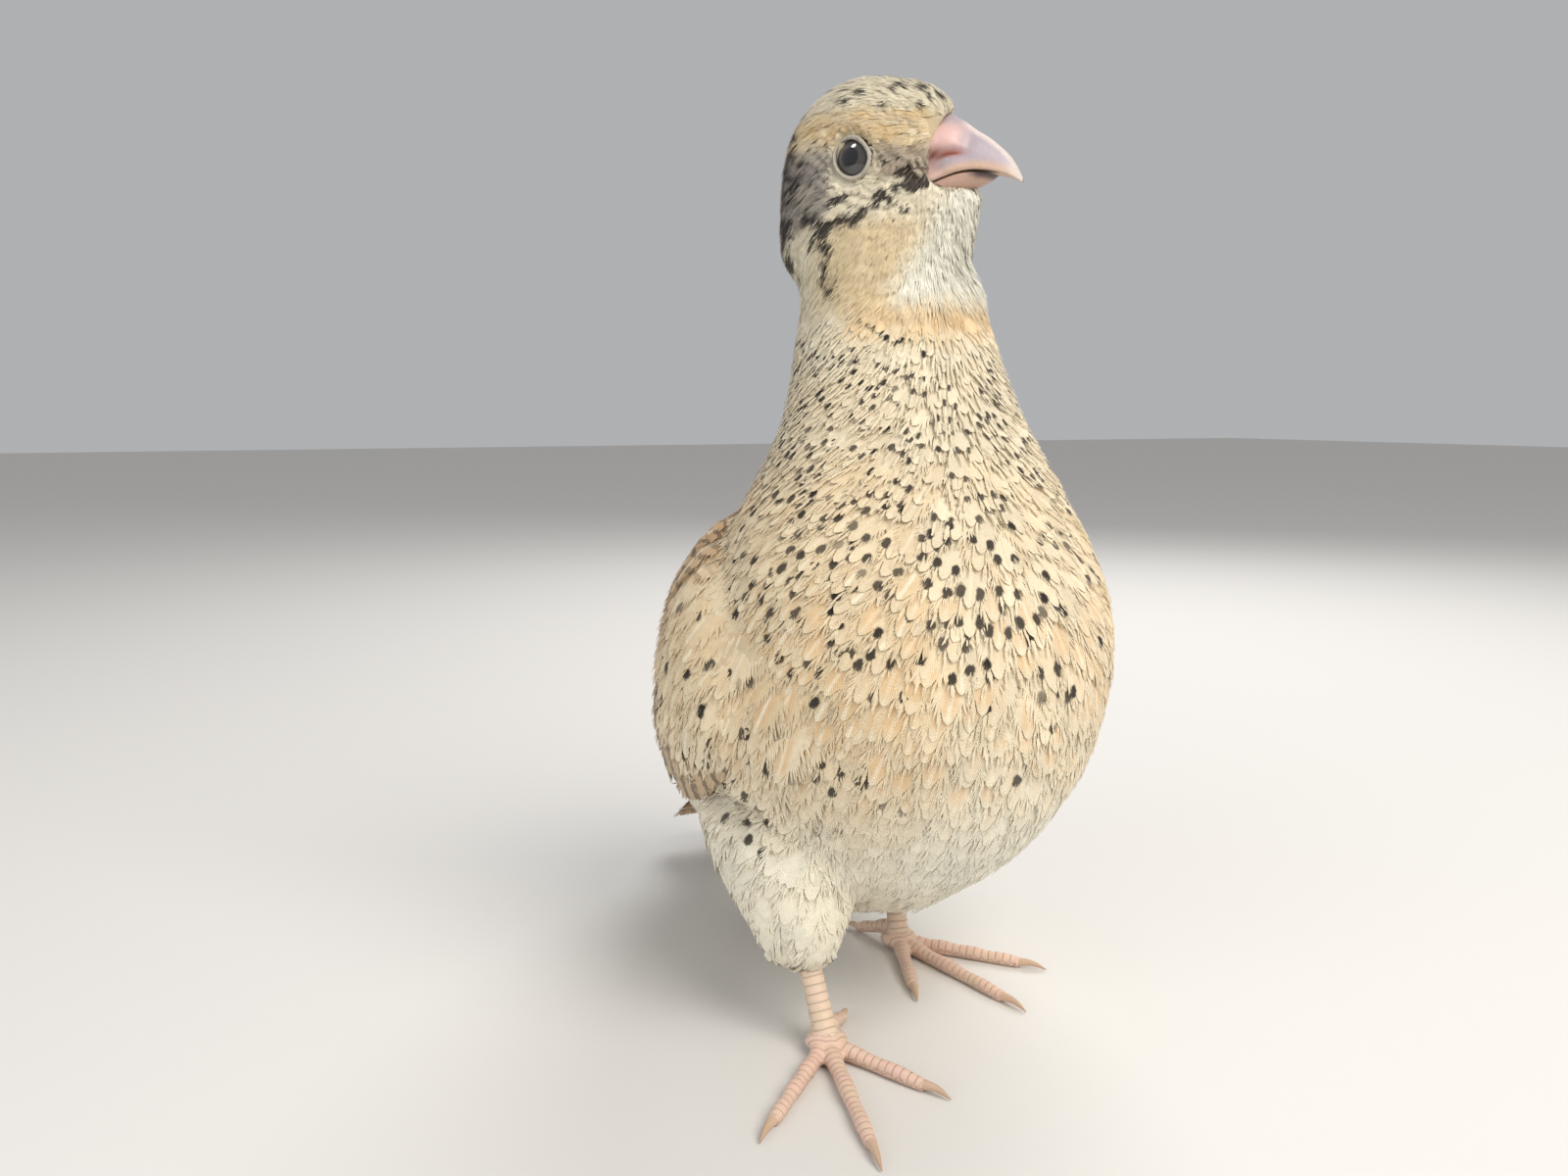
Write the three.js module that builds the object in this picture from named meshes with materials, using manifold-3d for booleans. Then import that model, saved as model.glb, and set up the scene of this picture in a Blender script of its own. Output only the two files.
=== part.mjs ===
// A coturnix quail standing tall, life size. Millimetres, +Z up. The bird's body faces -Y, its left side
// is +X, and its head is turned to its left.
import * as THREE from "three";
import { mergeVertices } from "three/addons/utils/BufferGeometryUtils.js";
import Module from "manifold-3d";

const wasm = await Module();
wasm.setup();

// Driving dimensions, mm.
const GAP = 0.3; // clearance between neighbouring nodes
const COLUMNS = 28; // corners of one ring of the body

// Rings of the body from the tail's core to the nape. Each ring stands on a line from a back point to a
// belly point in the plane of symmetry: back y, back z, belly y, belly z, half-width, and the height of
// the widest place as a share of the way from belly to back.
const BODY = [
  [66, 16.5, 64, 12, 5.5, 0.5],
  [57, 24, 52, 16, 10, 0.5],
  [51, 33, 40, 15, 16, 0.52],
  [44, 44, 26, 14, 21.5, 0.54],
  [36, 56, 10, 13.5, 26, 0.57],
  [27.5, 67, -8, 14.5, 29.5, 0.57],
  [20, 76, -25, 23, 31, 0.55],
  [13.5, 83.5, -37.5, 37.5, 30.8, 0.52],
  [10.5, 89.5, -42, 55, 28, 0.47],
  [9.5, 95, -38, 70, 23, 0.46],
  [9.4, 100.5, -29.5, 85, 18.6, 0.48],
  [9.4, 106, -22, 98.5, 16, 0.5],
  [9.4, 112, -17.9, 112, 14.6, 0.5],
];
const TAIL_CUT = 1.0; // station where the torso ends and the tail's core begins
const NECK_CUT = 9.0; // station where the torso ends and the neck begins
const HEAD_CUT = 12.0; // station where the neck ends and the head begins

const HEAD_TURN = 45; // degrees to the bird's left
const SKULL = [-2.2, -2.3]; // the head's upright axis
// Level slices of the head: z, reach forward, reach back, half-width, pointedness of the face (2 = round)
const HEAD = [
  [114, 13.4, 14.4, 13.6, 2.0],
  [117.5, 14.4, 14.6, 12.9, 1.9],
  [121, 15.4, 14.8, 12.2, 1.7],
  [124.5, 15.4, 14.8, 11.5, 1.5],
  [128, 14.2, 14.7, 11.1, 1.38],
  [131.5, 13.9, 14.2, 10.7, 1.35],
  [135, 13.6, 13.2, 10.1, 1.38],
  [138, 12.9, 11.4, 9.0, 1.5],
  [140.6, 10.6, 8.9, 7.2, 1.75],
  [142.6, 6.8, 5.6, 4.6, 2.0],
  [143.5, 2.6, 2.0, 1.8, 2.0],
];

const EYE_RADIUS = 4.2;
const EYE_AT = [0.2, 6.8, 129.9]; // forward, outward, z
const LID_RADIUS = 4.95;
const LID_OPENING = [3.2, 2.95]; // half-width and half-height

// Stations of the bill: forward, culmen z, mouth line z, half-width, chin z
const BILL = [
  [7.6, 134.5, 126.1, 5.4, 123.2],
  [9.6, 136.6, 126.9, 5.1, 123.5],
  [11.6, 137.8, 127.7, 4.7, 124.1],
  [13.6, 137.5, 128.4, 4.1, 124.9],
  [15.6, 136.3, 128.8, 3.4, 125.7],
  [17.6, 134.6, 128.9, 2.7, 126.6],
  [19.3, 132.7, 128.5, 2.1, 127.5],
  [20.8, 130.8, 127.9, 1.5, 127.4],
  [21.9, 129.1, 127.3, 0.9, 127.0],
  [22.6, 127.7, 126.9, 0.35, 126.8],
];
const LOWER_BILL_END = 18.9; // forward reach of the lower bill
const NOSTRIL = [12.0, 3.9, 132.2]; // forward, outward, z

const TARSUS_RADIUS = 1.7;
const HUB_RADIUS = 4.0; // ball of the foot, where the toes meet
const HOCK_Z = 12; // height where the bare shank leaves the leg's feathers
// Each foot: joint on the floor, top of the bare shank, and four toes as heading in degrees from
// straight ahead toward the bird's left, and length without the claw.
const FEET = {
  right: {
    joint: [-19.8, -21.7],
    shin: [-20.6, -15.2],
    thigh: [-19, -3, 34],
    toes: [[138, 8.2], [25, 17.5], [-14, 26], [-46, 21.5]],
  },
  left: {
    joint: [8.5, 6],
    shin: [9.6, 10.5],
    thigh: [14, 14, 32],
    toes: [[-160, 8.2], [-22, 17.5], [10, 26], [42, 21.5]],
  },
};
const CLAW_LENGTH = [3.2, 4.2, 5, 4.6];

const WING_REAR = 2.4; // stations between which the wing's base lies
const WING_FRONT = 7.1;
const VANE_THICK = 0.62;
// The folded wing's tiers. Root and tip of the lowest and the highest vane of each, as a station, an
// angle from the back in radians, and a height over the body; then half-width and tilt.
const WING_TIERS = [
  { count: 4, root: [[3.3, 1.46, 0.9], [3.3, 1.3, 1.2]], tip: [[0.5, 1.3, 1.3], [1.5, 1.12, 3.2]],
    half: 3.5, tilt: 0.1 },
  { count: 6, root: [[5, 1.72, 1.1], [4.9, 0.8, 1.3]], tip: [[2.7, 1.58, 2.0], [1.7, 0.72, 3.0]],
    half: 4.6, tilt: 0.6 },
  { count: 7, root: [[5.9, 1.92, 1.5], [5.8, 0.98, 1.7]], tip: [[4.4, 1.8, 3.1], [3.9, 0.9, 3.5]],
    half: 4.0, tilt: 0.6 },
  { count: 6, root: [[6.5, 1.9, 1.8], [6.4, 1.04, 1.9]], tip: [[5.4, 1.86, 3.6], [5.0, 0.96, 4.0]],
    half: 3.9, tilt: 0.6 },
  { count: 5, root: [[6.7, 0.82, 1.0], [4.6, 0.74, 0.9]], tip: [[5.2, 0.68, 4.0], [2.5, 0.52, 4.0]],
    half: 4.0, tilt: 0.1 },
];

const TAIL_ROOT = [55, 21]; // y and z where the tail's fan springs
const TAIL_LENGTH = 21;
const TAIL_SPREAD = 8.5;
// The tail's tiers: count, near and far reach, half-width, layer, and lift of the middle feather over it
const TAIL_TIERS = [
  [10, 2, 21, 3.1, -0.9, 2.4],
  [5, 0, 11.5, 3.2, 1.6, 1.2],
  [5, 1, 12.5, 3.2, -3.2, 0.9],
];

// Tools for solids.
const lerp = THREE.MathUtils.lerp;
const smooth = (t) => THREE.MathUtils.smoothstep(t, 0, 1);

// A table's row at a fractional index, curved smoothly through the rows.
function rowAt(table, s) {
  const i = Math.max(0, Math.min(table.length - 2, Math.floor(s)));
  const t = s - i;
  const row = (k) => table[Math.max(0, Math.min(table.length - 1, k))];
  const [a, b, c, d] = [row(i - 1), row(i), row(i + 1), row(i + 2)];
  return b.map((_, k) => {
    const m0 = (c[k] - a[k]) / 2;
    const m1 = (d[k] - b[k]) / 2;
    const t2 = t * t;
    const t3 = t2 * t;
    return (2 * t3 - 3 * t2 + 1) * b[k] + (t3 - 2 * t2 + t) * m0 +
      (3 * t2 - 2 * t3) * c[k] + (t3 - t2) * m1;
  });
}

// A closed solid from a geometry's triangles, turned to face outward.
function solidOf(geometry) {
  const position = new THREE.BufferGeometry().setAttribute("position", geometry.getAttribute("position"));
  if (geometry.index) position.setIndex(geometry.index);
  const merged = mergeVertices(position, 1e-4);
  const triangles = [];
  const index = merged.index.array;
  for (let i = 0; i < index.length; i += 3) {
    const [a, b, c] = [index[i], index[i + 1], index[i + 2]];
    if (a !== b && b !== c && c !== a) triangles.push(a, b, c);
  }
  const build = (list) =>
    new wasm.Manifold(new wasm.Mesh({
      numProp: 3,
      vertProperties: merged.attributes.position.array,
      triVerts: new Uint32Array(list),
    }));
  const made = build(triangles);
  if (made.volume() > 0) return made;
  const turned = [];
  for (let i = 0; i < triangles.length; i += 3) turned.push(triangles[i], triangles[i + 2], triangles[i + 1]);
  return build(turned);
}

// A geometry from a solid, with flat-shaded faces.
function geometryOf(solid) {
  const mesh = solid.getMesh();
  const corners = new Float32Array(mesh.numVert * 3);
  for (let i = 0; i < mesh.numVert; i++) {
    corners.set(mesh.vertProperties.subarray(i * mesh.numProp, i * mesh.numProp + 3), i * 3);
  }
  const geometry = new THREE.BufferGeometry()
    .setAttribute("position", new THREE.BufferAttribute(corners, 3))
    .setIndex(new THREE.BufferAttribute(new Uint32Array(mesh.triVerts), 1));
  geometry.computeVertexNormals();
  return geometry;
}

// A closed surface through rings of as many corners each. Each end is closed by a fan round its centre.
function loft(rings) {
  const n = rings[0].length;
  const centre = (ring) => ring.reduce((sum, p) => sum.add(p), new THREE.Vector3()).divideScalar(n);
  const points = [...rings.flat(), centre(rings[0]), centre(rings.at(-1))];
  const index = [];
  for (let i = 0; i + 1 < rings.length; i++) {
    for (let j = 0; j < n; j++) {
      const a = i * n + j;
      const b = i * n + ((j + 1) % n);
      index.push(a, b, b + n, a, b + n, a + n);
    }
  }
  const first = rings.length * n;
  const last = first - n;
  for (let j = 0; j < n; j++) {
    index.push(first, (j + 1) % n, j, first + 1, last + j, last + ((j + 1) % n));
  }
  return solidOf(new THREE.BufferGeometry().setFromPoints(points).setIndex(index));
}

const biggest = (solid) =>
  solid.decompose().reduce((best, body) => (body.volume() > best.volume() ? body : best));

// A point of the body's surface: s counts the stations, phi runs from the back (0) over the bird's left
// side (90 degrees) to the belly (180).
function bodyPoint(s, phi) {
  const [backY, backZ, bellyY, bellyZ, half, widest] = rowAt(BODY, s);
  const c = Math.cos(phi);
  const centreY = lerp(bellyY, backY, widest);
  const centreZ = lerp(bellyZ, backZ, widest);
  const [toY, toZ] = c > 0 ? [backY, backZ] : [bellyY, bellyZ];
  const k = Math.abs(c);
  return new THREE.Vector3(half * Math.sin(phi), lerp(centreY, toY, k), lerp(centreZ, toZ, k));
}

function bodyNormal(s, phi) {
  const e = 0.01;
  const along = bodyPoint(s + e, phi).sub(bodyPoint(s - e, phi));
  const round = bodyPoint(s, phi + e).sub(bodyPoint(s, phi - e));
  return along.cross(round).normalize();
}

const bodyAt = (s, phi, height) => bodyPoint(s, phi).addScaledVector(bodyNormal(s, phi), height);

// A ring's own plane: the direction in which the body runs on, square to the ring.
function ringAxis(s) {
  const [backY, backZ, bellyY, bellyZ] = rowAt(BODY, s);
  return new THREE.Vector3(0, -(backZ - bellyZ), backY - bellyY).normalize();
}

const ringAngles = (turn = 0) =>
  Array.from({ length: COLUMNS }, (_, j) => (2 * Math.PI * j) / COLUMNS + turn);

const bodyRing = (s, turn = 0) => ringAngles(turn).map((phi) => bodyPoint(s, phi));

const shifted = (ring, axis, distance) => ring.map((p) => p.clone().addScaledVector(axis, distance));

function stations(from, to, step) {
  const count = Math.max(1, Math.round((to - from) / step));
  return Array.from({ length: count + 1 }, (_, i) => from + ((to - from) * i) / count);
}

const TORSO_STEP = 0.5;
function torsoSolid() {
  return loft(stations(TAIL_CUT, NECK_CUT, TORSO_STEP).map((s) => bodyRing(s)));
}

// The torso with a margin all round, to cut the nodes that lie against it.
function torsoGrown(margin) {
  const rings = stations(TAIL_CUT, NECK_CUT, TORSO_STEP).map((s) =>
    ringAngles().map((phi) => bodyAt(s, phi, margin)));
  rings[0] = shifted(rings[0], ringAxis(TAIL_CUT), -margin);
  rings[rings.length - 1] = shifted(rings.at(-1), ringAxis(NECK_CUT), margin);
  return loft(rings);
}

const turnAt = (s) => THREE.MathUtils.degToRad(HEAD_TURN) * smooth((s - NECK_CUT) / (HEAD_CUT - NECK_CUT));

function neckSolid(margin = 0) {
  const rings = stations(NECK_CUT, HEAD_CUT, 0.5).map((s) =>
    ringAngles(-turnAt(s)).map((phi) => bodyAt(s, phi, margin)));
  rings[0] = shifted(rings[0], ringAxis(NECK_CUT), GAP - margin);
  return loft(rings);
}

// The head's own frame.
const turnAngle = THREE.MathUtils.degToRad(HEAD_TURN);
const FORWARD = new THREE.Vector3(Math.sin(turnAngle), -Math.cos(turnAngle), 0);
const LEFT = new THREE.Vector3(Math.cos(turnAngle), Math.sin(turnAngle), 0);

// A point in the head's own frame: forward, to the bird's left, and up.
const headPoint = (forward, left, z) =>
  new THREE.Vector3(SKULL[0], SKULL[1], z).addScaledVector(FORWARD, forward).addScaledVector(LEFT, left);

function headSlice([z, front, back, half, point]) {
  return ringAngles().map((phi) => {
    const c = Math.cos(phi);
    const s = Math.sin(phi);
    if (c >= 0) return headPoint(-back * c, half * s, z);
    const power = 2 / point;
    return headPoint(front * Math.abs(c) ** power, half * Math.sign(s) * Math.abs(s) ** power, z);
  });
}

function headBlank() {
  const rings = [shifted(bodyRing(HEAD_CUT, -turnAngle), new THREE.Vector3(0, 0, 1), GAP)];
  for (const i of stations(0, HEAD.length - 1, 0.5)) rings.push(headSlice(rowAt(HEAD, i)));
  // The lowest slices pass over from the neck's round to the head's own shape.
  for (const i of [1, 2]) {
    const share = smooth(0.35 * i + 0.1);
    rings[i] = rings[i].map((p, j) => {
      const neck = rings[0][j].clone().setZ(p.z);
      return neck.lerp(p, share);
    });
  }
  return loft(rings);
}

// A round solid in the head's frame, its poles pointing out of the side of the head.
function eyeBall(side, radius, columns, rows, centre = EYE_AT) {
  const [forward, out, z] = centre;
  const geometry = new THREE.SphereGeometry(radius, columns, rows);
  geometry.rotateZ(-Math.PI / 2);
  geometry.applyMatrix4(new THREE.Matrix4().makeBasis(LEFT, FORWARD.clone().negate(), new THREE.Vector3(0, 0, 1)));
  const at = headPoint(forward, side * out, z);
  return solidOf(geometry.translate(at.x, at.y, at.z));
}

// The opening between the lids: an almond, a little pointed toward the bill.
function lidOpening(side) {
  const [forward, , z] = EYE_AT;
  const outline = (out, scale) =>
    Array.from({ length: 16 }, (_, i) => {
      const angle = (2 * Math.PI * i) / 16;
      const reach = LID_OPENING[0] * (1 + 0.1 * Math.max(0, Math.cos(angle)) ** 4);
      return headPoint(
        forward + scale * reach * Math.cos(angle),
        side * out,
        z + scale * (LID_OPENING[1] * Math.sin(angle) + 0.12 * reach * Math.cos(angle)));
    });
  return loft([outline(EYE_AT[1] + 1, 0.92), outline(EYE_AT[1] + 8, 1.15)]);
}

// The bill.
const billRow = (i) => rowAt(BILL, i);
function billIndexAt(forward) {
  let i = 0;
  while (i < BILL.length - 2 && BILL[i + 1][0] < forward) i++;
  return i + (forward - BILL[i][0]) / (BILL[i + 1][0] - BILL[i][0]);
}

// One half of the bill. The upper half is an arch over the mouth line, the lower half a trough under it.
function billHalf(upper, margin = 0) {
  const end = upper ? BILL.length - 1 : billIndexAt(LOWER_BILL_END);
  const rings = stations(0, end, 0.5).map((i, k, all) => {
    const [forward, culmen, mouth, half, chin] = billRow(i);
    const closing = upper ? 1 : Math.sqrt(Math.max(0.02, 1 - (k / (all.length - 1)) ** 4));
    const f = forward + (k ? 0 : -margin);
    const width = (upper ? half : half * 0.93 * closing) + margin;
    const ring = [];
    for (let j = 0; j <= 8; j++) {
      const angle = (Math.PI * j) / 8;
      const x = width * Math.cos(angle) * (1 - 0.12 * Math.sin(angle) ** 2);
      const reach = upper ? culmen - mouth : (mouth - chin) * closing;
      const rise = Math.sin(angle) ** (upper ? 0.95 : 0.8) * (reach - GAP / 2 + 2 * margin);
      ring.push(headPoint(f, x, mouth + (upper ? 1 : -1) * (GAP / 2 - margin + rise)));
    }
    // The face toward the other half: level across, its edges a little proud.
    const inner = (upper ? 1 : -1) * (GAP / 2 + 0.12 * Math.min(1, half) - margin);
    for (const share of [-0.5, 0.5]) ring.push(headPoint(f, share * width, mouth + inner));
    return ring;
  });
  return loft(rings);
}

// The nostril: a slit under a swollen flap, cut into the side of the upper bill.
function nostril(side) {
  const [forward, out, z] = NOSTRIL;
  const slit = new THREE.SphereGeometry(1, 10, 8);
  slit.scale(1.7, 1.1, 0.42);
  slit.rotateZ(turnAngle - Math.PI / 2 - side * 0.22);
  const at = headPoint(forward, side * out, z);
  return solidOf(slit.translate(at.x, at.y, at.z));
}

// The legs.
const floorPoint = (x, y, z) => new THREE.Vector3(x, y, Math.max(0, z));

// A round limb along a path: each entry is a centre and a radius, square to the path.
function limb(path, corners, flatten = 1) {
  const rings = path.map(([centre, radius], i) => {
    const before = path[Math.max(0, i - 1)][0];
    const after = path[Math.min(path.length - 1, i + 1)][0];
    const axis = after.clone().sub(before).normalize();
    const side = new THREE.Vector3(-axis.y, axis.x, 0);
    if (side.lengthSq() < 1e-6) side.set(1, 0, 0);
    side.normalize();
    const up = axis.clone().cross(side).negate();
    return Array.from({ length: corners }, (_, j) => {
      const angle = (2 * Math.PI * (j + 0.5)) / corners;
      const p = centre.clone()
        .addScaledVector(side, radius * Math.cos(angle))
        .addScaledVector(up, radius * flatten * Math.sin(angle));
      return floorPoint(p.x, p.y, p.z);
    });
  });
  return loft(rings);
}

function hub([x, y], margin = 0) {
  const geometry = new THREE.SphereGeometry(1, 16, 10);
  geometry.rotateX(Math.PI / 2);
  geometry.scale(HUB_RADIUS + margin, HUB_RADIUS + margin, 2.6 + margin);
  geometry.translate(x, y, 1.5);
  const position = geometry.getAttribute("position");
  for (let i = 0; i < position.count; i++) position.setZ(i, Math.max(0, position.getZ(i)));
  return solidOf(geometry);
}

const heading = (degrees) => {
  const a = THREE.MathUtils.degToRad(degrees);
  return new THREE.Vector3(Math.sin(a), -Math.cos(a), 0);
};

// The toe's centre line and radius at a share t of its length, the claw left out.
function toeAt(foot, number, t) {
  const [degrees, length] = foot.toes[number - 1];
  const hind = number === 1;
  const way = heading(degrees);
  const start = hind ? 1.5 : 0;
  const along = start + length * t;
  const pad = 0.09 * Math.sin(t * Math.PI * (hind ? 2 : 6)) ** 2;
  const radius = lerp(1.32, hind ? 0.85 : 0.95, t) * (1 + pad) * (t < 0.12 ? 0.8 : 1);
  const lift = hind ? 2.2 * (1 - t) : 0;
  const bow = hind ? 0 : 0.7 * Math.sin(Math.PI * t);
  return [
    new THREE.Vector3(foot.joint[0], foot.joint[1], radius * 0.86 + lift + bow * 0.15).addScaledVector(way, along),
    radius,
  ];
}

function toeSolid(foot, number) {
  const shares = number === 1 ? [0, 0.25, 0.5, 0.75, 1] : [0, 0.14, 0.3, 0.42, 0.55, 0.67, 0.8, 0.92, 1];
  return biggest(limb(shares.map((t) => toeAt(foot, number, t)), 8).subtract(shankSolid(foot, GAP)));
}

function clawSolid(foot, number) {
  const [end, radius] = toeAt(foot, number, 1);
  const way = heading(foot.toes[number - 1][0]);
  const length = CLAW_LENGTH[number - 1];
  const path = [0, 0.35, 0.7, 1].map((t) => {
    const r = radius * [0.82, 0.66, 0.42, 0.12][Math.round(t * 3)];
    const z = lerp(end.z, 0.35, t) + 0.35 * Math.sin(Math.PI * t);
    return [new THREE.Vector3(end.x, end.y, z).addScaledVector(way, GAP + (length - GAP) * t), r];
  });
  return limb(path, 8);
}

function shankSolid(foot, margin = 0) {
  const [x, y] = foot.joint;
  const top = new THREE.Vector3(foot.shin[0], foot.shin[1], HOCK_Z);
  const low = new THREE.Vector3(x, y, 2.2);
  const path = [0, 0.3, 0.65, 1].map((t) => [low.clone().lerp(top, t), TARSUS_RADIUS * (1 + 0.12 * (1 - t) ** 3)]);
  const rings = path.map(([p, r]) =>
    Array.from({ length: 12 }, (_, j) => {
      const angle = (2 * Math.PI * j) / 12;
      return new THREE.Vector3(
        p.x + (r * 0.92 + margin) * Math.cos(angle),
        p.y + (r * 1.12 + margin) * Math.sin(angle),
        p.z);
    }));
  return loft(rings).add(hub(foot.joint, margin));
}

// The feathered leg: it hangs from the torso and ends level where the bare shank begins.
function thighSolid(foot) {
  const [x, y, z] = foot.thigh;
  const low = new THREE.Vector3(foot.shin[0], foot.shin[1], HOCK_Z + GAP);
  const high = new THREE.Vector3(x, y, z);
  const rings = [0, 0.25, 0.5, 0.75, 1].map((t, i) => {
    const p = low.clone().lerp(high, t);
    const r = [4.6, 8.8, 11.8, 13, 13][i];
    return Array.from({ length: 16 }, (_, j) => {
      const angle = (2 * Math.PI * j) / 16;
      return new THREE.Vector3(p.x + r * 0.9 * Math.cos(angle), p.y + r * 1.1 * Math.sin(angle), p.z);
    });
  });
  return loft(rings).subtract(torsoGrown(GAP));
}

// A closed plate from two grids of corners, split into triangles alike on both faces.
function plate(top, bottom, rows, columns) {
  const index = [];
  const n = rows * columns;
  for (let i = 0; i + 1 < rows; i++) {
    for (let j = 0; j + 1 < columns; j++) {
      const a = i * columns + j;
      const [b, c, d] = [a + 1, a + columns, a + columns + 1];
      index.push(a, b, d, a, d, c, n + a, n + d, n + b, n + a, n + c, n + d);
    }
  }
  const rim = [];
  for (let j = 0; j < columns; j++) rim.push(j);
  for (let i = 1; i < rows; i++) rim.push(i * columns + columns - 1);
  for (let j = columns - 2; j >= 0; j--) rim.push((rows - 1) * columns + j);
  for (let i = rows - 2; i > 0; i--) rim.push(i * columns);
  rim.forEach((a, k) => {
    const b = rim[(k + 1) % rim.length];
    index.push(b, a, n + a, b, n + a, n + b);
  });
  return solidOf(new THREE.BufferGeometry().setFromPoints([...top, ...bottom]).setIndex(index));
}

// A feather's vane. place(t, across, height) is a point at share t of its length, across in mm from its
// shaft, and height in mm over its middle surface.
const VANE_ROWS = [[0, 0.6, 1], [0.45, 1, 1], [0.8, 0.92, 0.9], [1, 0.2, 0.5]]; // share, width, depth
function vane(place, half, margin = 0) {
  const [top, bottom] = [[], []];
  for (const [t, width, depth] of VANE_ROWS) {
    for (const side of [-1, 1]) {
      const deep = VANE_THICK * depth * 0.5 + margin;
      const across = side * (half * width + margin);
      top.push(place(t, across, deep));
      bottom.push(place(t, across, -deep));
    }
  }
  return plate(top, bottom, VANE_ROWS.length, 2);
}

// Puts a vane on the body's surface between a root and a tip, each a station, an angle and a height. Its
// lower edge stands over its upper edge by the tilt, so that each vane covers its lower neighbour.
function onBody(root, tip, tilt) {
  const way = [tip[0] - root[0], tip[1] - root[1]];
  return (t, across, height) => {
    const s = root[0] + way[0] * t;
    const phi = root[1] + way[1] * t;
    const e = 0.01;
    const alongS = bodyPoint(s + e, phi).sub(bodyPoint(s - e, phi)).divideScalar(2 * e);
    const alongPhi = bodyPoint(s, phi + e).sub(bodyPoint(s, phi - e)).divideScalar(2 * e);
    const shaft = alongS.clone().multiplyScalar(way[0]).addScaledVector(alongPhi, way[1]).normalize();
    const cross = bodyNormal(s, phi).cross(shaft);
    const [ss, sp, pp] = [alongS.dot(alongS), alongS.dot(alongPhi), alongPhi.dot(alongPhi)];
    const [cs, cp] = [cross.dot(alongS), cross.dot(alongPhi)];
    const scale = 1 / (ss * pp - sp * sp);
    const stepS = (cs * pp - cp * sp) * scale;
    const stepPhi = (cp * ss - cs * sp) * scale;
    const lean = tilt * Math.sign(stepPhi) * Math.max(-1, Math.min(1, across / 3.5));
    const lift = lerp(root[2], tip[2], t) + lean * Math.min(1, 2 * t);
    return bodyAt(s + stepS * across, phi + stepPhi * across, lift + height);
  };
}

// The folded wing's covert-bearing base, from its rear end to the shoulder.
const wingTop = (u) => lerp(0.62, 0.78, u);
const wingLow = (u) => lerp(1.5, 2.02, u ** 0.8) - 0.55 * smooth((u - 0.84) / 0.16);
function wingBase(margin = 0) {
  const [top, bottom] = [[], []];
  const across = 7;
  const rows = stations(WING_REAR, WING_FRONT, 0.5);
  for (const s of rows) {
    const u = (s - WING_REAR) / (WING_FRONT - WING_REAR);
    for (let j = 0; j <= across; j++) {
      const v = j / across;
      const phi = lerp(wingTop(u), wingLow(u), v);
      const edge = Math.min(1, 4 * Math.min(v, 1 - v, u + 0.15, 1.8 * (1 - u) + 0.05));
      bottom.push(bodyAt(s, phi, -GAP - margin)); // inside the torso's clearance, which trims it
      top.push(bodyAt(s, phi, GAP + 0.7 + lerp(0.5, 2, u) * Math.sqrt(edge) + margin));
    }
  }
  return plate(top, bottom, rows.length, across + 1);
}

function wingVanes(margin = 0) {
  const made = [];
  for (const tier of WING_TIERS) {
    for (let k = 0; k < tier.count; k++) {
      const share = k / (tier.count - 1);
      const at = ([from, to]) => from.map((value, i) => lerp(value, to[i], share));
      made.push(vane(onBody(at(tier.root), at(tier.tip), tier.tilt), tier.half, margin));
    }
  }
  return made;
}

const wingSolid = (margin = 0) =>
  wingVanes(margin).reduce((sum, part) => sum.add(part), wingBase(margin));

// The tail's fan: a point at share t of its length, across in mm, on the feather that leans by the share
// aside (-1 to 1), in layer mm over the fan's middle.
const onTail = (aside, from, to, layer) => (t, across, height) => {
  const reach = lerp(from, to, t) - 1.6 * aside * aside * t;
  const spread = TAIL_SPREAD * aside * (0.45 + 0.55 * (reach / TAIL_LENGTH));
  return new THREE.Vector3(
    spread + across,
    TAIL_ROOT[0] + reach * 0.82,
    TAIL_ROOT[1] - reach * 0.57 - 2.2 * aside * aside + layer + height - 0.035 * across * across);
};

function tailSolid() {
  const rings = stations(0, TAIL_CUT, 0.5).map((s) => bodyRing(s));
  const last = rings.length - 1;
  rings[last] = shifted(rings[last], ringAxis(TAIL_CUT), -GAP);
  let tail = loft(rings);
  for (const [count, from, to, half, layer, lift] of TAIL_TIERS) {
    for (let k = 0; k < count; k++) {
      const aside = count > 1 ? (2 * k) / (count - 1) - 1 : 0;
      const stack = layer + lift * (1 - Math.abs(aside));
      tail = tail.add(vane(onTail(aside, from, to, stack), half));
    }
  }
  return tail.subtract(torsoGrown(GAP));
}

const mirrored = (solid) => solid.mirror([1, 0, 0]);

// The nodes, each with its material.
const colours = {
  plumage: 0xc9a26b, bill: 0xb9a5a0, eye: 0x1c1716, leg: 0xe3b3a0, claw: 0xd9c4a8,
};
const finish = Object.fromEntries(Object.entries(colours).map(([name, color]) => [
  name, new THREE.MeshStandardMaterial({ color, roughness: name === "eye" ? 0.1 : 0.8 })]));

const group = new THREE.Group();
const put = (name, solid, slot) => {
  const mesh = new THREE.Mesh(geometryOf(biggest(solid)), finish[slot]);
  mesh.name = name;
  group.add(mesh);
};

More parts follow.
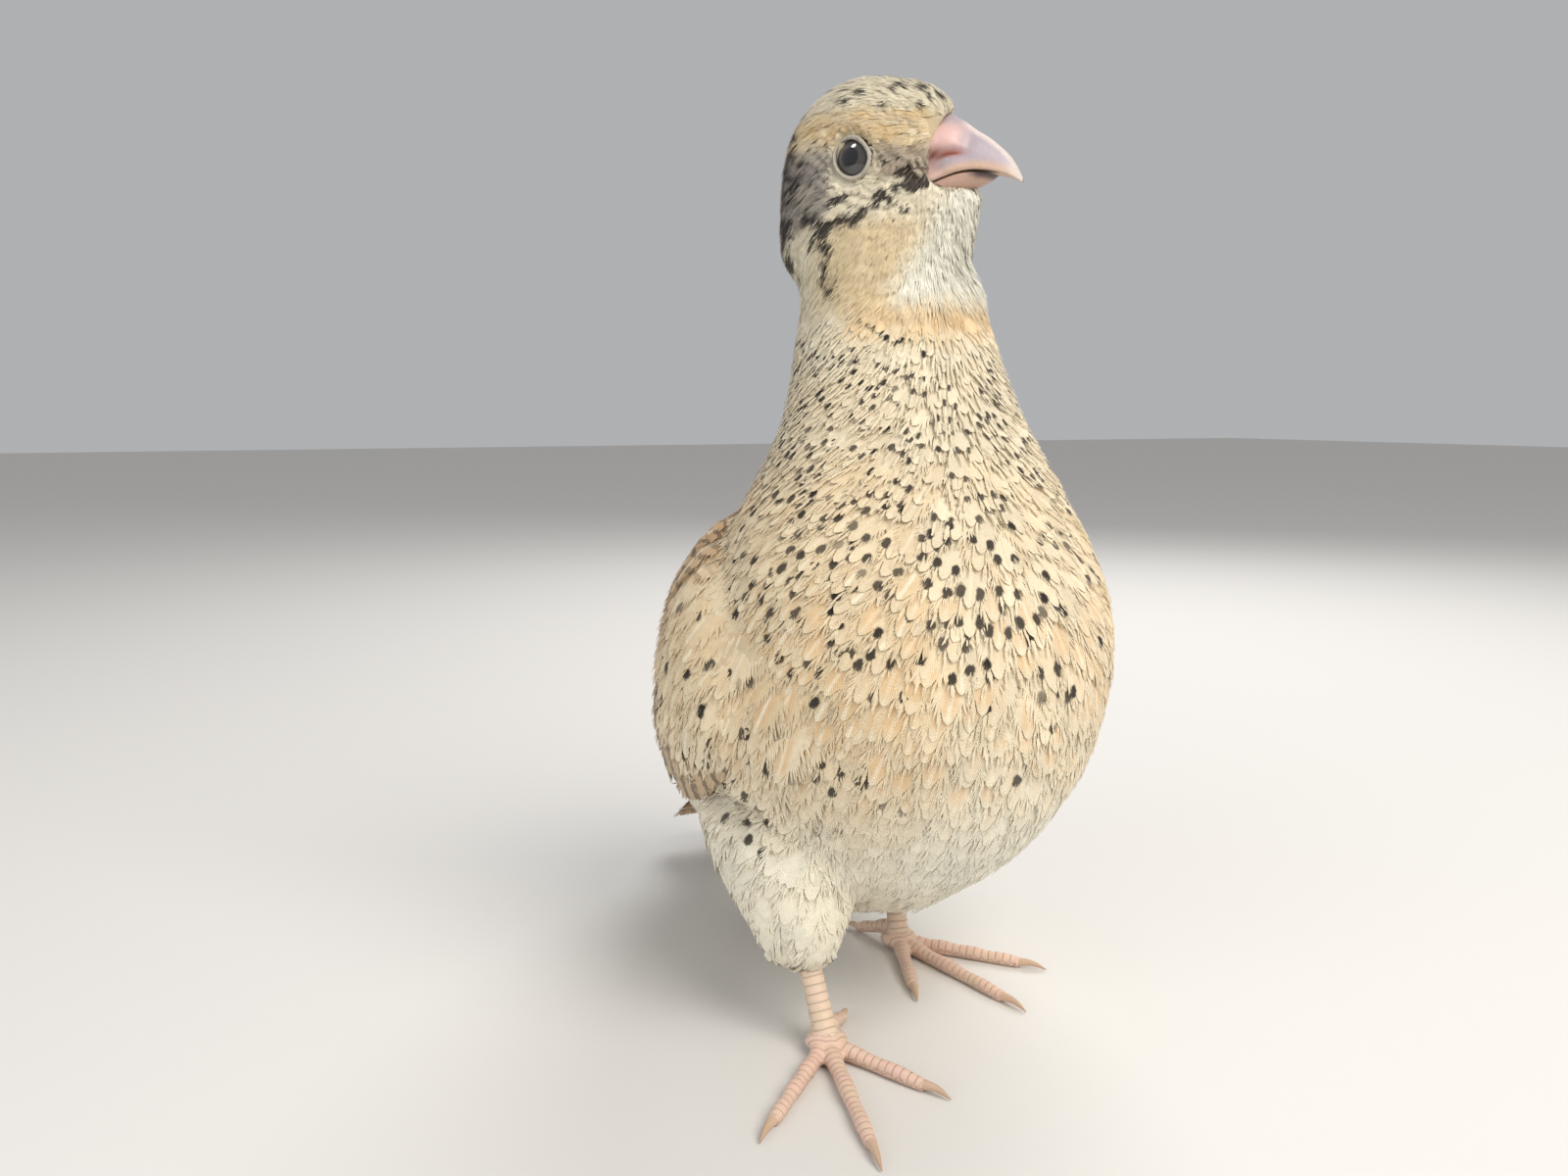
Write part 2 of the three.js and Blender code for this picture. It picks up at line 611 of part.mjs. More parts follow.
const bills = billHalf(true, GAP).add(billHalf(false, GAP));
let head = headBlank();
for (const side of [-1, 1]) head = head.add(eyeBall(side, LID_RADIUS, 16, 11));
for (const side of [-1, 1]) {
  head = head.subtract(eyeBall(side, EYE_RADIUS + GAP, 16, 11)).subtract(lidOpening(side));
}
put("head", head.subtract(bills), "plumage");
put("bill_upper", billHalf(true).subtract(nostril(-1)).subtract(nostril(1)), "bill");
put("bill_lower", billHalf(false), "bill");
put("eye_left", eyeBall(1, EYE_RADIUS, 16, 11), "eye");
put("eye_right", eyeBall(-1, EYE_RADIUS, 16, 11), "eye");
put("neck", neckSolid(), "plumage");
put("torso", torsoSolid(), "plumage");
const wing = wingSolid().subtract(torsoGrown(GAP)).subtract(neckSolid(GAP));
put("wing_left", wing, "plumage");
put("wing_right", mirrored(wing), "plumage");
const wideWing = wingSolid(GAP);
const besideWings = (solid) => solid.subtract(wideWing).subtract(mirrored(wideWing));
put("tail", besideWings(tailSolid()), "plumage");
for (const [side, foot] of Object.entries(FEET)) {
  put(`thigh_${side}`, besideWings(thighSolid(foot)), "plumage");
  put(`shank_${side}`, shankSolid(foot), "leg");
  for (const number of [1, 2, 3, 4]) {
    put(`toe_${side}_${number}`, toeSolid(foot, number), "leg");
    put(`claw_${side}_${number}`, clawSolid(foot, number), "claw");
  }
}

// The frame: the middle of the box on the floor.
const box = new THREE.Box3().setFromObject(group);
const middle = box.getCenter(new THREE.Vector3());
group.position.set(-middle.x, -middle.y, -box.min.z);

export default group;
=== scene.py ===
# %% [markdown]
# # A coturnix quail, standing tall
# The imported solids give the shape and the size. This file dresses them: one skin under the plumage, coat
# feathers that follow it, flight and tail feathers, bill, eyes, and scaly feet. Lengths inside the bird are
# in millimetres in the bird's own frame and are turned into metres when a mesh is made.

import math

import bpy
import numpy as np
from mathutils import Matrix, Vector
from mathutils.bvhtree import BVHTree
from mathutils.kdtree import KDTree


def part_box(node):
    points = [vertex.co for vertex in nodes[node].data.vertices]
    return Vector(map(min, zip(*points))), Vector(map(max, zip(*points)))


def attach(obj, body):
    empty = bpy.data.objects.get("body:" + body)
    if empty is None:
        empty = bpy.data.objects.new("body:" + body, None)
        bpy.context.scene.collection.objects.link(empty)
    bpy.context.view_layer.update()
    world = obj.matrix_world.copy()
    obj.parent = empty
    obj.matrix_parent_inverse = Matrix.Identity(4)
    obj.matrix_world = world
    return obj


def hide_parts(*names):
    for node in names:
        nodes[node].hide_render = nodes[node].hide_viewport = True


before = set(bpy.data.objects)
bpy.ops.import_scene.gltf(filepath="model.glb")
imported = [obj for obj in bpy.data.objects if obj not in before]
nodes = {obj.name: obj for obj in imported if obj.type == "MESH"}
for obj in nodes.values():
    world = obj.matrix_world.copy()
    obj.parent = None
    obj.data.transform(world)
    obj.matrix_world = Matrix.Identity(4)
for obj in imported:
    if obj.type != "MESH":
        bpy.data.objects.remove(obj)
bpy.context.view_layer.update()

# %% [markdown]
# ## The bird's own frame
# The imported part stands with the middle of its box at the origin. The bird's frame has its origin between
# the shoulders' plumb line and the floor, as the source of the solids does. An eye ball is a sphere of known
# place in both, so it gives the shift. The head is turned 45 degrees to the bird's left.

# %% Frames
MM = 0.001
TURN = math.radians(45)
FORWARD = np.array([math.sin(TURN), -math.cos(TURN), 0.0])
LEFT = np.array([math.cos(TURN), math.sin(TURN), 0.0])
SKULL = np.array([-2.2, -2.3, 0.0])
EYE = (0.2, 6.8, 129.9)  # forward, outward, up
EYE_RADIUS = 4.2
LID_BACK, LID_UP = 1.0, 0.4  # the middle of the lids' opening from the ball's, seen square on
CHIN_MIDDLE, CHIN_SIZE = (12.2, 0, 125.3), (4.9, 4.0, 2.2)  # forward, left, up
UP = np.array([0, 0, 1.0])


def head_point(forward, left, z):
    return SKULL + FORWARD * forward + LEFT * left + UP * z


def eye_centre(side):
    return head_point(EYE[0], side * EYE[1], EYE[2])


low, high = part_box("eye_right")
SHIFT = (np.array(low) + np.array(high)) / 2 / MM - eye_centre(-1)
SHIFT[2] = 0.0
print("shift in mm", SHIFT.round(3))


def smooth(x, a, b):
    """0 below a, 1 above b, eased between."""
    t = np.clip((np.asarray(x, float) - a) / (b - a), 0, 1)
    return t * t * (3 - 2 * t)


def full_turn(count):
    """Angles all the way round, the last one short of the first."""
    return np.linspace(0, 2 * math.pi, count, endpoint=False)


def unit(v):
    return v / np.maximum(np.linalg.norm(v, axis=-1, keepdims=True), 1e-9)


def head_frame(p):
    """Forward, left and up of points of the bird's frame, as seen by the head."""
    d = p - SKULL
    return d @ FORWARD, d @ LEFT, p[..., 2]


# %% [markdown]
# ## Meshes from arrays
# Every piece is made from arrays of corners and faces. A piece carries its attributes by name, for the
# materials to read.

# %% Mesh maker
def make_mesh(name, points, faces, attributes=None, uv=None, flat=False):
    """A mesh object from points in mm and faces with as many corners each."""
    points = (np.asarray(points, float) + SHIFT) * MM
    faces = np.asarray(faces, np.int32)
    corners = faces.shape[1]
    mesh = bpy.data.meshes.new(name)
    mesh.vertices.add(len(points))
    mesh.vertices.foreach_set("co", points.astype(np.float32).ravel())
    mesh.loops.add(faces.size)
    mesh.loops.foreach_set("vertex_index", faces.ravel())
    mesh.polygons.add(len(faces))
    mesh.polygons.foreach_set("loop_start", np.arange(0, faces.size, corners, dtype=np.int32))
    mesh.update(calc_edges=True)
    mesh.validate()
    mesh.shade_flat() if flat else mesh.shade_smooth()
    for key, values in (attributes or {}).items():
        values = np.asarray(values, np.float32)
        if values.ndim == 1:
            mesh.attributes.new(key, "FLOAT", "POINT").data.foreach_set("value", values)
        else:
            mesh.attributes.new(key, "FLOAT_VECTOR", "POINT").data.foreach_set("vector", values.ravel())
    if uv is not None:
        layer = mesh.uv_layers.new(name="OFBake")
        layer.data.foreach_set("uv", np.asarray(uv, np.float32).ravel())
    thing = bpy.data.objects.new(name, mesh)
    bpy.context.scene.collection.objects.link(thing)
    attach(thing, "root")
    return thing


def halves(quads):
    """Two triangles for each quad."""
    return np.concatenate([quads[:, [0, 1, 2]], quads[:, [0, 2, 3]]])


def together(pieces):
    """Corners and faces of several pieces as one list of each."""
    points, faces, start = [], [], 0
    for some, corners in pieces:
        points.append(some)
        faces.append(corners + start)
        start += len(some)
    return np.concatenate(points), np.concatenate(faces)


def grid_faces(rows, columns, closed=False):
    """Quads of a grid of rows by columns, the columns joined round if closed."""
    i, j = np.meshgrid(np.arange(rows - 1), np.arange(columns - (not closed)), indexing="ij")
    a = (i * columns + j).ravel()
    b = (i * columns + (j + 1) % columns).ravel()
    return np.stack([a, b, b + columns, a + columns], 1)


# %% [markdown]
# ## The body's surface as the source states it
# The wings and the tail lie on the same smooth surface as in the solids: rings along the spine, each with a
# back point, a belly point and a half-width. The wing's base is a swelling of that surface.

# %% Body surface
BODY = np.array([  # back y, back z, belly y, belly z, half-width, height of the widest place
    [66, 16.5, 64, 12, 5.5, 0.5], [57, 24, 52, 16, 10, 0.5], [51, 33, 40, 15, 16, 0.52],
    [44, 44, 26, 14, 21.5, 0.54], [36, 56, 10, 13.5, 26, 0.57], [27.5, 67, -8, 14.5, 29.5, 0.57],
    [20, 76, -25, 23, 31, 0.55], [13.5, 83.5, -37.5, 37.5, 30.8, 0.52], [10.5, 89.5, -42, 55, 28, 0.47],
    [9.5, 95, -38, 70, 23, 0.46], [9.4, 100.5, -29.5, 85, 18.6, 0.48], [9.4, 106, -22, 98.5, 16, 0.5],
    [9.4, 112, -17.9, 112, 14.6, 0.5]])
WING_REAR, WING_FRONT = 2.4, 7.1


def row_at(table, s):
    """Rows of a table at fractional indices, curved smoothly through the rows."""
    s = np.asarray(s, float)
    i = np.clip(np.floor(s).astype(int), 0, len(table) - 2)
    t = (s - i)[..., None]
    a, b, c, d = (table[np.clip(i + k, 0, len(table) - 1)] for k in (-1, 0, 1, 2))
    m0, m1 = (c - a) / 2, (d - b) / 2
    return ((2 * t**3 - 3 * t**2 + 1) * b + (t**3 - 2 * t**2 + t) * m0
            + (3 * t**2 - 2 * t**3) * c + (t**3 - t**2) * m1)


def body_point(s, phi):
    back_y, back_z, belly_y, belly_z, half, widest = np.moveaxis(row_at(BODY, s), -1, 0)
    c = np.cos(phi)
    mid_y, mid_z = belly_y + (back_y - belly_y) * widest, belly_z + (back_z - belly_z) * widest
    to_y, to_z = np.where(c > 0, back_y, belly_y), np.where(c > 0, back_z, belly_z)
    k = np.abs(c)
    return np.stack([half * np.sin(phi), mid_y + (to_y - mid_y) * k, mid_z + (to_z - mid_z) * k], -1)


def body_slopes(s, phi):
    e = 0.01
    along = (body_point(s + e, phi) - body_point(s - e, phi)) / (2 * e)
    round_ = (body_point(s, phi + e) - body_point(s, phi - e)) / (2 * e)
    return along, round_, unit(np.cross(along, round_))


def body_at(s, phi, height):
    return body_point(s, phi) + body_slopes(s, phi)[2] * np.asarray(height)[..., None]


print("widest point of the body", body_point(np.array([6.5]), np.array([math.pi / 2])).round(1))

# %% [markdown]
# ## The base of a folded wing
# A folded wing is a swelling of the flank. Its base is a shell laid on the same surface, closed at its rim,
# so that the skin runs on under the flight feathers.

# %% Wing base
def wing_base(side):
    """The closed base of one folded wing: corners and triangles."""
    rows = np.linspace(WING_REAR, WING_FRONT, 16)
    v = np.linspace(0, 1, 12)
    s, v = np.meshgrid(rows, v, indexing="ij")
    u = (s - WING_REAR) / (WING_FRONT - WING_REAR)
    top_edge = 0.62 + 0.16 * u
    low_edge = 1.5 + 0.52 * u**0.8 - 0.55 * smooth(u, 0.84, 1)
    phi = top_edge + (low_edge - top_edge) * v
    edge = np.clip(4 * np.minimum.reduce([v, 1 - v, u + 0.15, 1.8 * (1 - u) + 0.05]), 0, 1)
    top = body_at(s, phi, 1.0 + (0.5 + 1.5 * u) * np.sqrt(edge)).reshape(-1, 3)
    under = body_at(s, phi, -1.5).reshape(-1, 3)
    face = grid_faces(16, 12)
    n = len(top)
    rim = np.concatenate([np.arange(12), np.arange(23, 192, 12), np.arange(190, 179, -1),
                          np.arange(168, 0, -12)])
    after = np.roll(rim, -1)
    quads = np.concatenate([face, face[:, ::-1] + n, np.stack([after, rim, rim + n, after + n], 1)])
    points = np.concatenate([top, under]) * np.array([side, 1, 1])
    tri = halves(quads)
    return points, tri if side > 0 else tri[:, ::-1]


print("base of a wing has", len(wing_base(1)[0]), "corners")

# %% [markdown]
# ## The skin's shape
# The flesh nodes are copied, swollen a little so that their parting gaps close, and rebuilt as one surface.
# A voxel remesh does that: it wants closed pieces and gives one closed skin without a seam.

# %% Flesh
FLESH = ["head", "neck", "torso", "thigh_left", "thigh_right"]


def joined_copy(names, swell):
    pieces = []
    for name in names:
        mesh = nodes[name].data
        mesh.calc_loop_triangles()
        co = np.empty(len(mesh.vertices) * 3)
        mesh.vertices.foreach_get("co", co)
        co = co.reshape(-1, 3) / MM - SHIFT
        tri = np.empty(len(mesh.loop_triangles) * 3, np.int32)
        mesh.loop_triangles.foreach_get("vertices", tri)
        tri = tri.reshape(-1, 3)
        rounded, inverse = np.unique(co.round(3), axis=0, return_inverse=True)
        tri = inverse.reshape(-1)[tri]
        normal = np.zeros_like(rounded)
        face = np.cross(rounded[tri[:, 1]] - rounded[tri[:, 0]], rounded[tri[:, 2]] - rounded[tri[:, 0]])
        for k in range(3):
            np.add.at(normal, tri[:, k], face)
        pieces.append((rounded + unit(normal) * swell, tri))
    return together(pieces)


def rebuilt(name, points, faces, voxel, softness, rounds):
    """One closed surface round overlapping closed pieces: corners in mm, quads and normals."""
    rough = make_mesh(name, points, faces)
    remesh = rough.modifiers.new("remesh", "REMESH")
    remesh.mode, remesh.voxel_size = "VOXEL", voxel * MM
    soft = rough.modifiers.new("soft", "SMOOTH")
    soft.factor, soft.iterations = softness, rounds
    done = bpy.data.meshes.new_from_object(rough.evaluated_get(bpy.context.evaluated_depsgraph_get()))
    co = np.empty(len(done.vertices) * 3)
    done.vertices.foreach_get("co", co)
    normal = np.empty(len(done.vertices) * 3)
    done.vertices.foreach_get("normal", normal)
    quads = np.empty(len(done.loops), np.int32)
    done.loops.foreach_get("vertex_index", quads)
    bpy.data.objects.remove(rough)
    return co.reshape(-1, 3) / MM - SHIFT, quads.reshape(-1, 4), unit(normal.reshape(-1, 3))


print("surfaces are rebuilt from closed pieces that overlap")

# %% [markdown]
# ## Soft forms added to the flesh
# The rump under the tail feathers, the soft chin under the lower bill and the bulge of each eye belong to the
# skin, so each is a closed piece of its own that the rebuilding takes up.

# %% Rump, chin and eye bulges
def tail_core():
    """The fleshy end of the body that carries the tail, closed at both ends."""
    s, phi = np.meshgrid(np.linspace(0, 1.6, 9), full_turn(32), indexing="ij")
    ring = body_point(s, phi).reshape(-1, 3)
    quads = grid_faces(9, 32, closed=True)
    ends = np.stack([ring[:32].mean(0), ring[-32:].mean(0)])
    j, k = np.arange(32), (np.arange(32) + 1) % 32
    first = np.stack([k, j, np.full(32, 288)], 1)
    last = np.stack([j + 256, k + 256, np.full(32, 289)], 1)
    return np.concatenate([ring, ends]), np.concatenate([halves(quads), first, last])


def chin_pad():
    """The soft chin under the lower bill, a closed egg."""
    polar, turn = np.meshgrid(np.linspace(0.02, math.pi - 0.02, 12), full_turn(24), indexing="ij")
    ball = np.stack([np.cos(polar), np.sin(polar) * np.cos(turn), np.sin(polar) * np.sin(turn)], -1)
    forward, left, z = np.moveaxis(ball * CHIN_SIZE + CHIN_MIDDLE, -1, 0)
    egg = head_point(forward[..., None], left[..., None], 0) + z[..., None] * UP
    return egg.reshape(-1, 3), halves(grid_faces(12, 24, closed=True))


def eye_bulge(side):
    """A ball a little larger than the eye, so that the skin closes round it."""
    polar, turn = np.meshgrid(np.linspace(0.02, math.pi - 0.02, 20), full_turn(36), indexing="ij")
    way = np.stack([np.sin(polar) * np.cos(turn), np.sin(polar) * np.sin(turn), np.cos(polar)], -1)
    way = way.reshape(-1, 3)
    return eye_centre(side) + way * (EYE_RADIUS + 0.9), halves(grid_faces(20, 36, closed=True))


print("rump has", len(tail_core()[0]), "corners, a bulge", len(eye_bulge(1)[0]))

# %% [markdown]
# ## The skin under the coat
# The skin lies inside the solids by the depth of the coat, less round the face. Inside the ring of the lids
# it is drawn back behind the ball, and beside the ring it lies over the ball.

# %% Skin surface
def body_under_coat():
    """The flesh, the wings' bases, the tail's core, the chin and the balls' bulges as one surface."""
    pieces = [joined_copy(FLESH, 0.25), wing_base(1), wing_base(-1), tail_core(), chin_pad(),
              eye_bulge(1), eye_bulge(-1)]
    return rebuilt("skin", *together(pieces), 0.85, 0.6, 14)


def coat_depth(p):
    """How far the skin lies inside the solids."""
    f, l, z = head_frame(p)
    face = smooth(z, 108, 120)
    near_bill = smooth(-np.hypot(f - 14, 0.8 * l), -12, -5) * face
    depth = 1.6 * (1 - face) + 0.75 * face
    return depth * (1 - 0.6 * near_bill)


def lid_share(forward, up):
    """1 at the outer edge of the lids' ring, less inside it."""
    return np.hypot((forward + LID_BACK) / 3.0, (up - LID_UP) / 3.6)


def clear_of_eyes(p):
    """The skin drawn back under the lids and over the rest of the ball."""
    for side in (1, -1):
        centre = eye_centre(side)
        away = p - centre
        reach = np.linalg.norm(away, axis=1)
        out = away @ LEFT * side
        flat = np.sqrt(np.clip(reach**2 - out**2, 0, None))
        share = lid_share(away @ FORWARD, away[:, 2])
        wanted = np.where(share < 1.08, np.minimum(reach, 3.6 + 0.8 * smooth(share, 0.98, 1.15)),
                          np.where(flat < 4.3, np.maximum(reach, 4.4), reach))
        near = (flat < 5.0) & (out > 0)
        p = np.where(near[:, None], centre + away * (wanted / np.maximum(reach, 1e-6))[:, None], p)
    return p


skin_at, skin_quads, skin_normal = body_under_coat()
skin_at = clear_of_eyes(skin_at - skin_normal * coat_depth(skin_at)[:, None])
print(len(skin_at), "skin corners")

# %% [markdown]
# ## How the feathers lie
# On the head they run back from the bill. Below it they run down the breast and then back along the belly,
# and from the nape down the back to the tail: one slant, laid into the surface, does all of that.

# %% Lie of the plumage
BILL_BASE = head_point(13.5, 0, 133)


def lie_at(p, normal):
    head = smooth(p[:, 2], 108, 120)[:, None]
    from_bill = unit(p - BILL_BASE) + np.array([0, 0, -0.35])
    body = np.tile([0.0, 0.5, -0.85], (len(p), 1))
    body[:, 0] = 0.012 * p[:, 0] * smooth(p[:, 2], 40, 80)
    leg = smooth(-p[:, 2], -24, -17)[:, None] * smooth(np.abs(p[:, 0]), 6, 12)[:, None]
    body = body * (1 - leg) + leg * np.array([0, 0.25, -1.0])
    way = unit(from_bill) * head + unit(body) * (1 - head)
    way = way - normal * np.sum(way * normal, 1, keepdims=True)
    return unit(way)


# %% [markdown]
# ## Colours and markings by place
# Each feather takes a ground colour and the strength of its markings from where it is rooted: twin dark
# spots near the tip, a pale shaft streak, dark bars, a tan centre. Some feathers of the head are dark whole.

# %% Palette and zones
def tone(r, g, b):
    """A colour as the eye reads it (0 to 1), made linear."""
    return np.array([c / 12.92 if c < 0.04045 else ((c + 0.055) / 1.055) ** 2.4 for c in (r, g, b)])


WHITE, CREAM = tone(0.95, 0.94, 0.88), tone(0.92, 0.88, 0.78)
BUFF, TAN = tone(0.88, 0.79, 0.64), tone(0.87, 0.71, 0.51)
COLLAR, GOLD = tone(0.91, 0.78, 0.58), tone(0.74, 0.59, 0.41)
STRAW, LORE, EAR = tone(0.88, 0.76, 0.55), tone(0.58, 0.51, 0.45), tone(0.48, 0.45, 0.44)
DARK, BROWN = tone(0.15, 0.12, 0.11), tone(0.42, 0.31, 0.22)
MOUSTACHE = np.array([[9.0, 126.6], [7.3, 126.6], [3.5, 123.6], [-0.2, 122.3], [-3.0, 120.8]])  # forward, up
NECK_STRIPE = np.array([[-5.6, 121.6], [-4.2, 115.5], [-2.0, 110.9], [-2.5, 107.0]])


def line_distance(x, y, line):
    best = np.full(len(x), 99.0)
    for (ax, ay), (bx, by) in zip(line[:-1], line[1:]):
        t = np.clip(((x - ax) * (bx - ax) + (y - ay) * (by - ay)) / ((bx - ax) ** 2 + (by - ay) ** 2), 0, 1)
        best = np.minimum(best, np.hypot(x - ax - t * (bx - ax), y - ay - t * (by - ay)))
    return best


print("moustache runs from", MOUSTACHE[0], "to", MOUSTACHE[-1])

# %% [markdown]
# ## Zones of the plumage
# A zone is a soft share between 0 and 1 worked out from the place. Colours are laid over one another by such
# shares, from the belly up and then over the head. Chance makes neighbours differ.

# %% Zones
def zones(p, normal, chance):
    """Ground colour, pattern (spots, shaft streak, bars) and tan centre at points, by seeded chance."""
    f, l, z = head_frame(p)
    side = np.abs(l)
    n = len(p)
    second = np.modf(chance * 7.31)[0]
    base = np.tile(CREAM, (n, 1))
    pattern = np.zeros((n, 3))

    def lay(colour, share):
        nonlocal base
        base = base + (colour - base) * np.clip(share, 0, 1)[:, None]

    # Body, from the belly up.
    middle = smooth(-np.abs(p[:, 0] - 3), -20, -9) * smooth(-p[:, 1], 14, 28)
    back = smooth(normal[:, 1] * 0.8 + normal[:, 2] * 0.6, 0.15, 0.45) * smooth(p[:, 1], -4, 6)
    lower = smooth(-z, -56, -26) * (0.55 + 0.45 * middle)
    breast = smooth(z, 26, 42) * smooth(-z, -106, -96)
    lay(BUFF, breast * (0.75 - 0.35 * middle) + 0.25 * (second > 0.6))
    lay(WHITE, lower * 0.8)
    lay(CREAM, smooth(z, 80, 92) * smooth(-z, -108, -102) * 0.5)
    spotted = breast * (1 - back) * (0.1 + 0.9 * smooth(z, 50, 68) + 0.5 * smooth(-p[:, 0] - 0.2 * z, 2, 14))
    spotted = np.clip(spotted, 0, 1) * (1 - 0.55 * smooth(p[:, 0], 2, 14) * smooth(-z, -84, -70))
    pattern[:, 0] = (second < spotted * 0.68) * (0.85 + 0.15 * chance)
    pattern[:, 0] *= 1 - smooth(-z, -44, -34) * smooth(p[:, 0], -24, -16)
    pattern[:, 1] = (0.2 + 0.7 * breast * chance * (second > 0.3)) * (1 - 0.6 * lower)
    centre = smooth(z, 34, 44) * smooth(-z, -76, -62) * smooth(-p[:, 1], 8, 20) * (0.2 + 0.4 * (second > 0.4))
    lay(GOLD, back * 0.9)
    pattern[:, 2] = back
    pattern[:, 0] *= 1 - back
    pattern[:, 1] = np.maximum(pattern[:, 1], back * (chance > 0.45))
    # Head and neck.
    face = smooth(z, 107, 112)
    crown = smooth(z, 136.5, 138.5)
    front = smooth(f, -7, -3)
    lay(COLLAR, smooth(z, 102.5, 105.5) * smooth(-z, -113, -109.5) * smooth(f, -4, 3) * (0.5 + 0.4 * second))
    lay(tone(0.90, 0.81, 0.64), face * smooth(-z, -123.5, -119) * front * (0.65 + 0.3 * second))
    band = (f - 14.2) + (z - 122) * -0.42
    lay(WHITE, face * smooth(-z, -128.5, -127) * smooth(band, -6.0, -0.8) * smooth(z, 106.5, 111))
    lay(CREAM, smooth(z, 121, 124) * smooth(-z, -129, -127) * (1 - smooth(f, 8, 10)))
    lay(STRAW, smooth(z, 130.5, 133) * smooth(-z, -138.5, -136.5) * (0.35 + 0.6 * second))
    lay(CREAM, crown * 0.8 + 0.5 * smooth(f, 9, 12) * smooth(z, 134, 137))
    lay(LORE, smooth(f, 2.0, 4.5) * smooth(z, 126.5, 128) * smooth(-z, -133, -131.5) * (0.6 + 0.3 * second))
    behind = smooth(-f, 3.2, 4.8) * face
    ear = behind * smooth(z, 119.5, 122.5) * smooth(-z, -133, -130.5)
    lay(EAR, ear * (0.66 + 0.3 * second))
    lay(BROWN, smooth(z, 112, 130) * smooth(-f, 11.5, 13.5) * 0.45)
    pattern[:, :] *= (1 - 0.95 * face)[:, None]
    pattern[:, 1] = np.maximum(pattern[:, 1], 0.3 * face)
    rows = np.exp(-(((side - 6.8 + 0.25 * f) / 1.5) ** 2)) + 0.7 * np.exp(-(((side - 2.6) / 1.2) ** 2))
    dark = crown * rows * 0.22
    dark = np.maximum(dark, 0.22 * np.exp(-(((z - 123.8) / 1.7) ** 2)) * smooth(side, 6, 8) * front)
    dark = np.maximum(dark, 0.16 * smooth(f, 2, 4.5) * smooth(z, 127, 128.5) * smooth(-z, -132, -130))
    dark = np.maximum(dark, 0.55 * smooth(-f, 8.5, 11) * smooth(z, 100, 108))
    dark = np.maximum(dark, 0.12 * ear)
    dark = np.maximum(dark, 0.35 * smooth(z, 84, 92) * smooth(-z, -107, -103) * (f < 8))
    dark = np.maximum(dark, 0.62 * smooth(-line_distance(f, z, MOUSTACHE), -1.5, -0.5) * (side > 4))
    dark = np.maximum(dark, 0.62 * smooth(-line_distance(f, z, NECK_STRIPE), -1.6, -0.6) * (side > 6))
    dark = dark * (1 - smooth(f, 8.2, 9.5) * smooth(-z, -126, -123))
    lay(DARK, (np.modf(chance * 13.7)[0] < dark) * face * 0.95)
    specks = (np.modf(chance * 13.7)[0] < dark) * (1 - face)
    pattern[:, 0] = np.maximum(pattern[:, 0], specks)
    return base, pattern, centre * (1 - face)


print("a feather of the crown:", zones(np.array([[0.0, 0, 143]]), UP[None], np.array([0.5]))[0].round(2))

# %% [markdown]
# ## Where the feathers are rooted
# Roots are drawn at random over the skin, seeded, and kept apart by a spacing that depends on the place:
# close on the face, wide on the flanks. No root lies where flight feathers or their coverts will cover it.

# %% Roots
skin_tree = BVHTree.FromPolygons(skin_at.tolist(), skin_quads.tolist())
face_normal = unit(skin_normal[skin_quads].sum(1))


def on_skin(points):
    """Nearest points of the skin and its smooth normals there."""
    flat = points.reshape(-1, 3)
    found = [skin_tree.find_nearest(p) for p in flat.tolist()]
    at = np.array([hit[0] for hit in found])
    face = np.array([hit[2] for hit in found])
    return at.reshape(points.shape), face_normal[face].reshape(points.shape)


def spacing(p):
    f, _, z = head_frame(p)
    gap = 2.0 - 0.4 * smooth(z, 72, 92) - 0.78 * smooth(z, 98, 114)
    gap = gap - 0.12 * smooth(f, 0, 8) * (z > 120)
    return gap - 0.3 * smooth(-z, -30, -20)


print("roots on the breast stand", spacing(np.array([[0.0, -40, 60]])).round(2), "mm apart")

# %% [markdown]
# ## Scattering
# Random points are drawn by area and density, and one is kept only if no kept point lies too near. A grid of
# cells finds the near ones fast.

# %% Scatter
def scatter(seed, tries):
    rng = np.random.default_rng(seed)
    a, b, c, d = (skin_at[skin_quads[:, k]] for k in range(4))
    area = np.linalg.norm(np.cross(c - a, d - b), axis=1) / 2
    centre = (a + b + c + d) / 4
    weight = area / spacing(centre) ** 2
    pick = rng.choice(len(area), tries, p=weight / weight.sum())
    u, v = rng.random((2, tries, 1))
    point = (a[pick] * (1 - u) + b[pick] * u) * (1 - v) + (d[pick] * (1 - u) + c[pick] * u) * v
    gap = spacing(point)
    cell = 3.0
    kept, grid = [], {}
    for i, (x, y, z) in enumerate(point.tolist()):
        key = (int(x // cell), int(y // cell), int(z // cell))
        near = gap[i] ** 2
        if all((x - q[0]) ** 2 + (y - q[1]) ** 2 + (z - q[2]) ** 2 > near
               for dx in (-1, 0, 1) for dy in (-1, 0, 1) for dz in (-1, 0, 1)
               for q in grid.get((key[0] + dx, key[1] + dy, key[2] + dz), ())):
            grid.setdefault(key, []).append((x, y, z))
            kept.append(i)
    return point[kept], face_normal[pick[kept]]


print("scattering is seeded, so each run gives the same roots")

# %% [markdown]
# ## Skin that stays open
# Each root is looked up on the body: those under the folded wings, inside the lids and inside the bill go.

